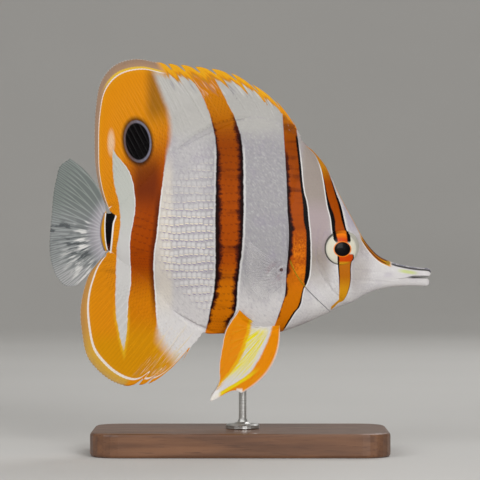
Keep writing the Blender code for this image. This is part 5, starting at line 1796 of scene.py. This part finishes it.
def eye_paint():
    """A black pupil in an ivory iris, crossed by the dark band's orange and black."""
    p = Paint("eye_paint")
    from_x, from_z = p.x - EYE_X, p.z - (EYE_Z - 0.4)
    reach = from_x * from_x + from_z * from_z
    grain = p.noise(1.6, 3.0, (1.0, 1.0, 1.0))
    wander = grain * 0.5
    # The bright iris, yellower towards its rim.
    color = p.mix(tint("ivory"), tint("cream"), 0.4)
    color = p.lay(
        color,
        "olive", p.rise(grain, 0.05, 0.3) * 0.2,
        "field", p.rise(reach, 30.0, 40.0) * 0.5,
    )
    # The dark wedges beside the band, and the band itself over and under the pupil.
    upper = p.rise(p.z, 87.6, 88.8)

    def across(rear, front, soft):
        """How far a place is inside a part of the band."""
        behind = p.x - p.along(rear, p.z) + wander
        ahead = p.x - p.along(front, p.z) + wander
        return p.rise(behind, -soft, soft) * p.rise(ahead, soft, -soft)

    color = p.lay(color, "black", across(IRIS_BLACK_REAR, IRIS_BLACK_FRONT, 0.15) * upper)
    glow = across(IRIS_GLOW_REAR, IRIS_GLOW_FRONT, 0.3) * upper
    orange = p.mix(tint("iris_red"), tint("iris_orange"), p.rise(p.z, 89.0, 92.0))
    color = p.mix(color, orange, glow)
    lower = p.rise(p.z, 83.6, 82.8)
    under_end = p.along(IRIS_UNDER_FRONT, p.z)
    under = p.rise(p.x + wander, 40.4, 40.7) * p.rise(p.x - under_end, 0.2, -0.1) * lower
    color = p.lay(color, "black", under)
    under_glow = p.rise(p.x + wander, 41.0, 41.6) * p.rise(p.x - under_end, -0.2, -0.6) * lower
    red = p.mix(tint("iris_red"), tint("gold"), p.rise(p.z, 80.6, 79.6))
    color = p.mix(color, red, under_glow)
    # A thin orange ring, then the pupil.
    pupil_x, pupil_z = (p.x - PUPIL_X) / PUPIL_HALF_LENGTH, (p.z - PUPIL_Z) / PUPIL_HALF_HEIGHT
    pupil = pupil_x * pupil_x + pupil_z * pupil_z
    color = p.lay(
        color,
        "iris_orange", p.rise(pupil, 1.36, 1.2) * 0.85,
        "black", p.rise(pupil, 1.06, 0.94),
    )
    # The dark rim of the eye, strongest at the rear.
    rim_dark = p.rise(reach, 38.5, 43.0) * (p.rise(from_x, 2.0, -5.0) * 0.7 + 0.3)
    color = p.lay(color, "black", rim_dark * 0.85)
    gloss = {"Specular_IOR_Level": 0.05, "Coat_Weight": 0.04, "Coat_Roughness": 0.04}
    return p.finish(Base_Color=color, Roughness=0.35, **gloss)


# The stage: a pale bowl with a flat floor. Lengths in metres, powers in watts.
BOWL_FLOOR = 1.5
BOWL_BEND = 0.9
BOWL_HEIGHT = 1.4
BOWL_STEPS = 18
BOWL_SEGMENTS = 96
DAYLIGHT = 0.64
CAMERA_AT = (-0.0001, -1.12, 0.0892)
CAMERA_LENS = 200.0
LIGHTS = [  # name, place, size, power
    ("key_light", (0.5, -1.25, 0.5), 0.5, 11.5),
    ("fill_light", (-0.8, -1.0, 0.7), 0.9, 6.2),
    ("back_light", (0.45, 0.9, 0.9), 0.6, 3.6),
]
LIGHT_TARGET = (0.0, 0.0, 0.09)


def walnut_paint():
    """Oiled walnut, its grain along X."""
    p = Paint("walnut_paint")
    rings = p.rise(p.noise(0.35, 4.0, (16.0, 1.0, 1.4)), -0.22, 0.2)
    clouds = p.rise(p.noise(0.05, 2.0, (3.0, 1.0, 1.0)), -0.2, 0.25)
    pores = p.noise(1.8, 2.0, (18.0, 1.0, 1.0))
    color = p.mix(tint("walnut"), tint("walnut_dark"), rings * 0.6 + clouds * 0.25)
    color = p.lay(color, "walnut_dark", p.rise(pores, 0.1, 0.22) * 0.6)
    p.bumped(pores, 0.05, 0.35)
    return p.finish(Base_Color=color, Roughness=p.rise(pores, -0.3, 0.3) * 0.2 + 0.38, Coat_Weight=0.2)


def steel_paint():
    """Brushed steel, its fine lines around the rod."""
    p = Paint("steel_paint")
    brushed = p.noise(3.0, 2.0, (40.0, 40.0, 1.0))
    p.bumped(brushed, 0.02, 0.2)
    color = p.lay(tint("steel_dark"), "steel", p.rise(brushed, -0.3, 0.3))
    return p.finish(Base_Color=color, Metallic=1.0, Roughness=p.rise(brushed, -0.3, 0.3) * 0.15 + 0.26)


def stage_paint():
    p = Paint("stage_paint")
    cloud = p.rise(p.noise(0.004, 2.0), -0.3, 0.3)
    return p.finish(Base_Color=p.lay(tint("stage"), "stage_dark", cloud * 0.5), Roughness=0.9)


def finish_stand(walnut, steel):
    """The stand keeps the frame's own solids and gets its wood and metal."""
    for node, material in (("stand_base", walnut), ("stand_rod", steel)):
        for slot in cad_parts[node].material_slots:
            slot.material = material


def make_bowl(material, floor):
    turns = np.linspace(0.0, 0.5 * math.pi, BOWL_STEPS)
    radii = np.concatenate([[0.02, 0.5, 1.0], floor + BOWL_BEND * np.sin(turns), [floor + BOWL_BEND]])
    heights = np.concatenate([[0.0, 0.0, 0.0], BOWL_BEND * (1 - np.cos(turns)), [BOWL_BEND + BOWL_HEIGHT]])
    around = np.linspace(0.0, 2 * math.pi, BOWL_SEGMENTS, endpoint=False)[:, None]
    points = np.stack([radii * np.cos(around), radii * np.sin(around), heights + 0 * around], axis=-1)
    faces = grid_faces(BOWL_SEGMENTS, len(radii), closed=True).tolist()
    faces.append([k * len(radii) for k in range(BOWL_SEGMENTS)][::-1])
    mesh = bpy.data.meshes.new("stage_bowl")
    mesh.from_pydata(points.reshape(-1, 3), [], faces)
    mesh.materials.append(material)
    mesh.shade_smooth()
    bowl = bpy.data.objects.new("stage_bowl", mesh)
    bpy.context.scene.collection.objects.link(bowl)


def make_lights(share, daylight):
    for name, place, size, power in LIGHTS:
        lamp = bpy.data.lights.new(name, "AREA")
        lamp.energy = power * share
        lamp.size = size
        light = bpy.data.objects.new(name, lamp)
        light.location = place
        light.rotation_euler = (Vector(LIGHT_TARGET) - Vector(place)).to_track_quat("-Z", "Y").to_euler()
        light.visible_camera = False
        bpy.context.scene.collection.objects.link(light)
    world = bpy.data.worlds.new("stage_world")
    world.use_nodes = True
    background = world.node_tree.nodes["Background"]
    background.inputs["Color"].default_value = tint("daylight")
    background.inputs["Strength"].default_value = daylight
    bpy.context.scene.world = world


def make_camera(lens):
    camera = bpy.data.objects.new("camera", bpy.data.cameras.new("camera"))
    camera.data.lens = lens
    camera.location = CAMERA_AT
    camera.rotation_euler = (math.radians(90.0), 0.0, 0.0)
    bpy.context.scene.collection.objects.link(camera)
    bpy.context.scene.camera = camera
    bpy.context.scene.view_settings.view_transform = "Standard"


class BUTTERFLYFISH_PG_colors(bpy.types.PropertyGroup):
    """The colours, one for each entry of the table."""

    __annotations__ = {
        name: bpy.props.FloatVectorProperty(
            name=name.replace("_", " ").capitalize(), description=where, default=linear(red, green, blue),
            size=4, min=0.0, max=1.0, subtype="COLOR",
        )
        for name, (red, green, blue, where) in COLORS.items()
    }


def spacing(name, description, default):
    """A property for how far apart scales are, its default in millimetres."""
    return bpy.props.FloatProperty(
        name=name, description=description, default=default * MM, min=0.001, unit="LENGTH", precision=5,
    )


def ray_count(name, description, default):
    """A property for how many rays a fin has."""
    return bpy.props.IntProperty(name=name, description=description, default=default, min=3)


class BUTTERFLYFISH_PG_sizes(bpy.types.PropertyGroup):
    """How the scales are set, and how many rays each fin has."""

    trunk_pitch: spacing("Trunk pitch", "How far apart the trunk's scales stand along a row", TRUNK_PITCH)
    trunk_row: spacing("Trunk row", "How far apart the rows of the trunk's scales are", TRUNK_ROW)
    fine_pitch: spacing("Fine pitch", "How far apart the small scales stand along a row", FINE_PITCH)
    fine_row: spacing("Fine row", "How far apart the rows of the small scales are", FINE_ROW)
    scale_turn: bpy.props.FloatProperty(
        name="Scale turn", description="How far a scale may turn from its row",
        default=SCALE_TURN, subtype="ANGLE",
    )
    scale_spread: bpy.props.FloatProperty(
        name="Scale spread", description="How much the scales' sizes differ",
        default=SCALE_SPREAD, subtype="FACTOR",
    )
    scale_seed: bpy.props.IntProperty(
        name="Scale seed", description="The seed of the scales' small differences", default=SCALE_SEED,
    )
    dorsal_rays: ray_count("Dorsal rays", "How many soft rays the dorsal fin has", SOFT_DORSAL_RAY_COUNT)
    anal_rays: ray_count("Anal rays", "How many soft rays the anal fin has", SOFT_ANAL_RAY_COUNT)
    tail_rays: ray_count("Tail rays", "How many rays the tail fin has", TAIL_RAY_COUNT)
    pelvic_rays: ray_count("Pelvic rays", "How many rays each pelvic fin has", PELVIC_RAY_COUNT)
    pectoral_rays: ray_count("Pectoral rays", "How many rays each pectoral fin has", PECTORAL_RAY_COUNT)


class BUTTERFLYFISH_PG_stage(bpy.types.PropertyGroup):
    """The stage, its light and the camera."""

    floor: bpy.props.FloatProperty(
        name="Floor", description="Radius of the stage's flat floor",
        default=BOWL_FLOOR, min=0.3, unit="LENGTH",
    )
    lamps: bpy.props.FloatProperty(
        name="Lamps", description="Share of the lamps' full power", default=1.0, min=0.0, subtype="FACTOR",
    )
    daylight: bpy.props.FloatProperty(
        name="Daylight", description="Strength of the light from all round", default=DAYLIGHT, min=0.0,
    )
    lens: bpy.props.FloatProperty(
        name="Lens", description="The camera's focal length", default=CAMERA_LENS, min=10.0, unit="CAMERA",
    )


class BUTTERFLYFISH_OT_skin(bpy.types.Operator):
    """Makes the skin of body, head, snout and jaws."""

    bl_idname = "butterflyfish.skin"
    bl_label = "Skin"

    def execute(self, context):
        make_skin(skin_paint())
        return {"FINISHED"}


class BUTTERFLYFISH_OT_scales(bpy.types.Operator):
    """Lays the scales over the skin and the bases of the fins."""

    bl_idname = "butterflyfish.scales"
    bl_label = "Scales"

    def execute(self, context):
        make_scales(scale_paint(), context.scene.butterflyfish_sizes)
        return {"FINISHED"}


class BUTTERFLYFISH_OT_median_fins(bpy.types.Operator):
    """Makes the dorsal and the anal fin."""

    bl_idname = "butterflyfish.median_fins"
    bl_label = "Dorsal and anal fins"

    def execute(self, context):
        sizes = context.scene.butterflyfish_sizes
        material = banded_fin_paint()
        make_dorsal(material, sizes.dorsal_rays)
        make_anal(material, sizes.anal_rays)
        return {"FINISHED"}


class BUTTERFLYFISH_OT_tail(bpy.types.Operator):
    """Makes the tail fin."""

    bl_idname = "butterflyfish.tail"
    bl_label = "Tail fin"

    def execute(self, context):
        material = clear_fin_paint("tail", "tail", *TAIL_SOLID)
        make_tail(material, context.scene.butterflyfish_sizes.tail_rays)
        return {"FINISHED"}


class BUTTERFLYFISH_OT_paired_fins(bpy.types.Operator):
    """Makes the pelvic and the pectoral fins."""

    bl_idname = "butterflyfish.paired_fins"
    bl_label = "Pelvic and pectoral fins"

    def execute(self, context):
        sizes = context.scene.butterflyfish_sizes
        pectoral = clear_fin_paint("pectoral", "white", *PECTORAL_SOLID)
        make_paired_fins(pelvic_paint(), pectoral, sizes.pelvic_rays, sizes.pectoral_rays)
        return {"FINISHED"}


class BUTTERFLYFISH_OT_eyes(bpy.types.Operator):
    """Makes both eyes."""

    bl_idname = "butterflyfish.eyes"
    bl_label = "Eyes"

    def execute(self, context):
        make_eyes(eye_paint())
        return {"FINISHED"}


class BUTTERFLYFISH_OT_stand(bpy.types.Operator):
    """Gives the display stand its wood and steel."""

    bl_idname = "butterflyfish.stand"
    bl_label = "Stand"

    def execute(self, context):
        finish_stand(walnut_paint(), steel_paint())
        return {"FINISHED"}


class BUTTERFLYFISH_OT_stage(bpy.types.Operator):
    """Makes the pale stage, its lights and the camera."""

    bl_idname = "butterflyfish.stage"
    bl_label = "Stage, light and camera"

    def execute(self, context):
        stage = context.scene.butterflyfish_stage
        make_bowl(stage_paint(), stage.floor)
        make_lights(stage.lamps, stage.daylight)
        make_camera(stage.lens)
        return {"FINISHED"}


GROUPS = (
    ("butterflyfish_colors", BUTTERFLYFISH_PG_colors),
    ("butterflyfish_sizes", BUTTERFLYFISH_PG_sizes),
    ("butterflyfish_stage", BUTTERFLYFISH_PG_stage),
)
OPERATORS = (
    BUTTERFLYFISH_OT_skin, BUTTERFLYFISH_OT_scales, BUTTERFLYFISH_OT_median_fins, BUTTERFLYFISH_OT_tail,
    BUTTERFLYFISH_OT_paired_fins, BUTTERFLYFISH_OT_eyes, BUTTERFLYFISH_OT_stand, BUTTERFLYFISH_OT_stage,
)


class BUTTERFLYFISH_PT_panel(bpy.types.Panel):
    """Lists the steps and their sizes and colours in the sidebar."""

    bl_idname = "BUTTERFLYFISH_PT_panel"
    bl_label = "Copperband butterflyfish"
    bl_space_type = "VIEW_3D"
    bl_region_type = "UI"
    bl_category = "Butterflyfish"

    def draw(self, context):
        for operator in OPERATORS:
            self.layout.operator(operator.bl_idname)
        for label, group in GROUPS:
            box = self.layout.box()
            for name in group.__annotations__:
                box.prop(getattr(context.scene, label), name)


def register():
    for label, group in GROUPS:
        bpy.utils.register_class(group)
        setattr(bpy.types.Scene, label, bpy.props.PointerProperty(type=group))
    for part in (*OPERATORS, BUTTERFLYFISH_PT_panel):
        bpy.utils.register_class(part)


def unregister():
    for part in (BUTTERFLYFISH_PT_panel, *reversed(OPERATORS)):
        bpy.utils.unregister_class(part)
    for label, group in reversed(GROUPS):
        delattr(bpy.types.Scene, label)
        bpy.utils.unregister_class(group)


def main():
    register()
    bpy.ops.butterflyfish.skin()
    bpy.ops.butterflyfish.scales()
    bpy.ops.butterflyfish.median_fins()
    bpy.ops.butterflyfish.tail()
    bpy.ops.butterflyfish.paired_fins()
    bpy.ops.butterflyfish.eyes()
    bpy.ops.butterflyfish.stand()
    bpy.ops.butterflyfish.stage()


if __name__ == "__main__":
    main()
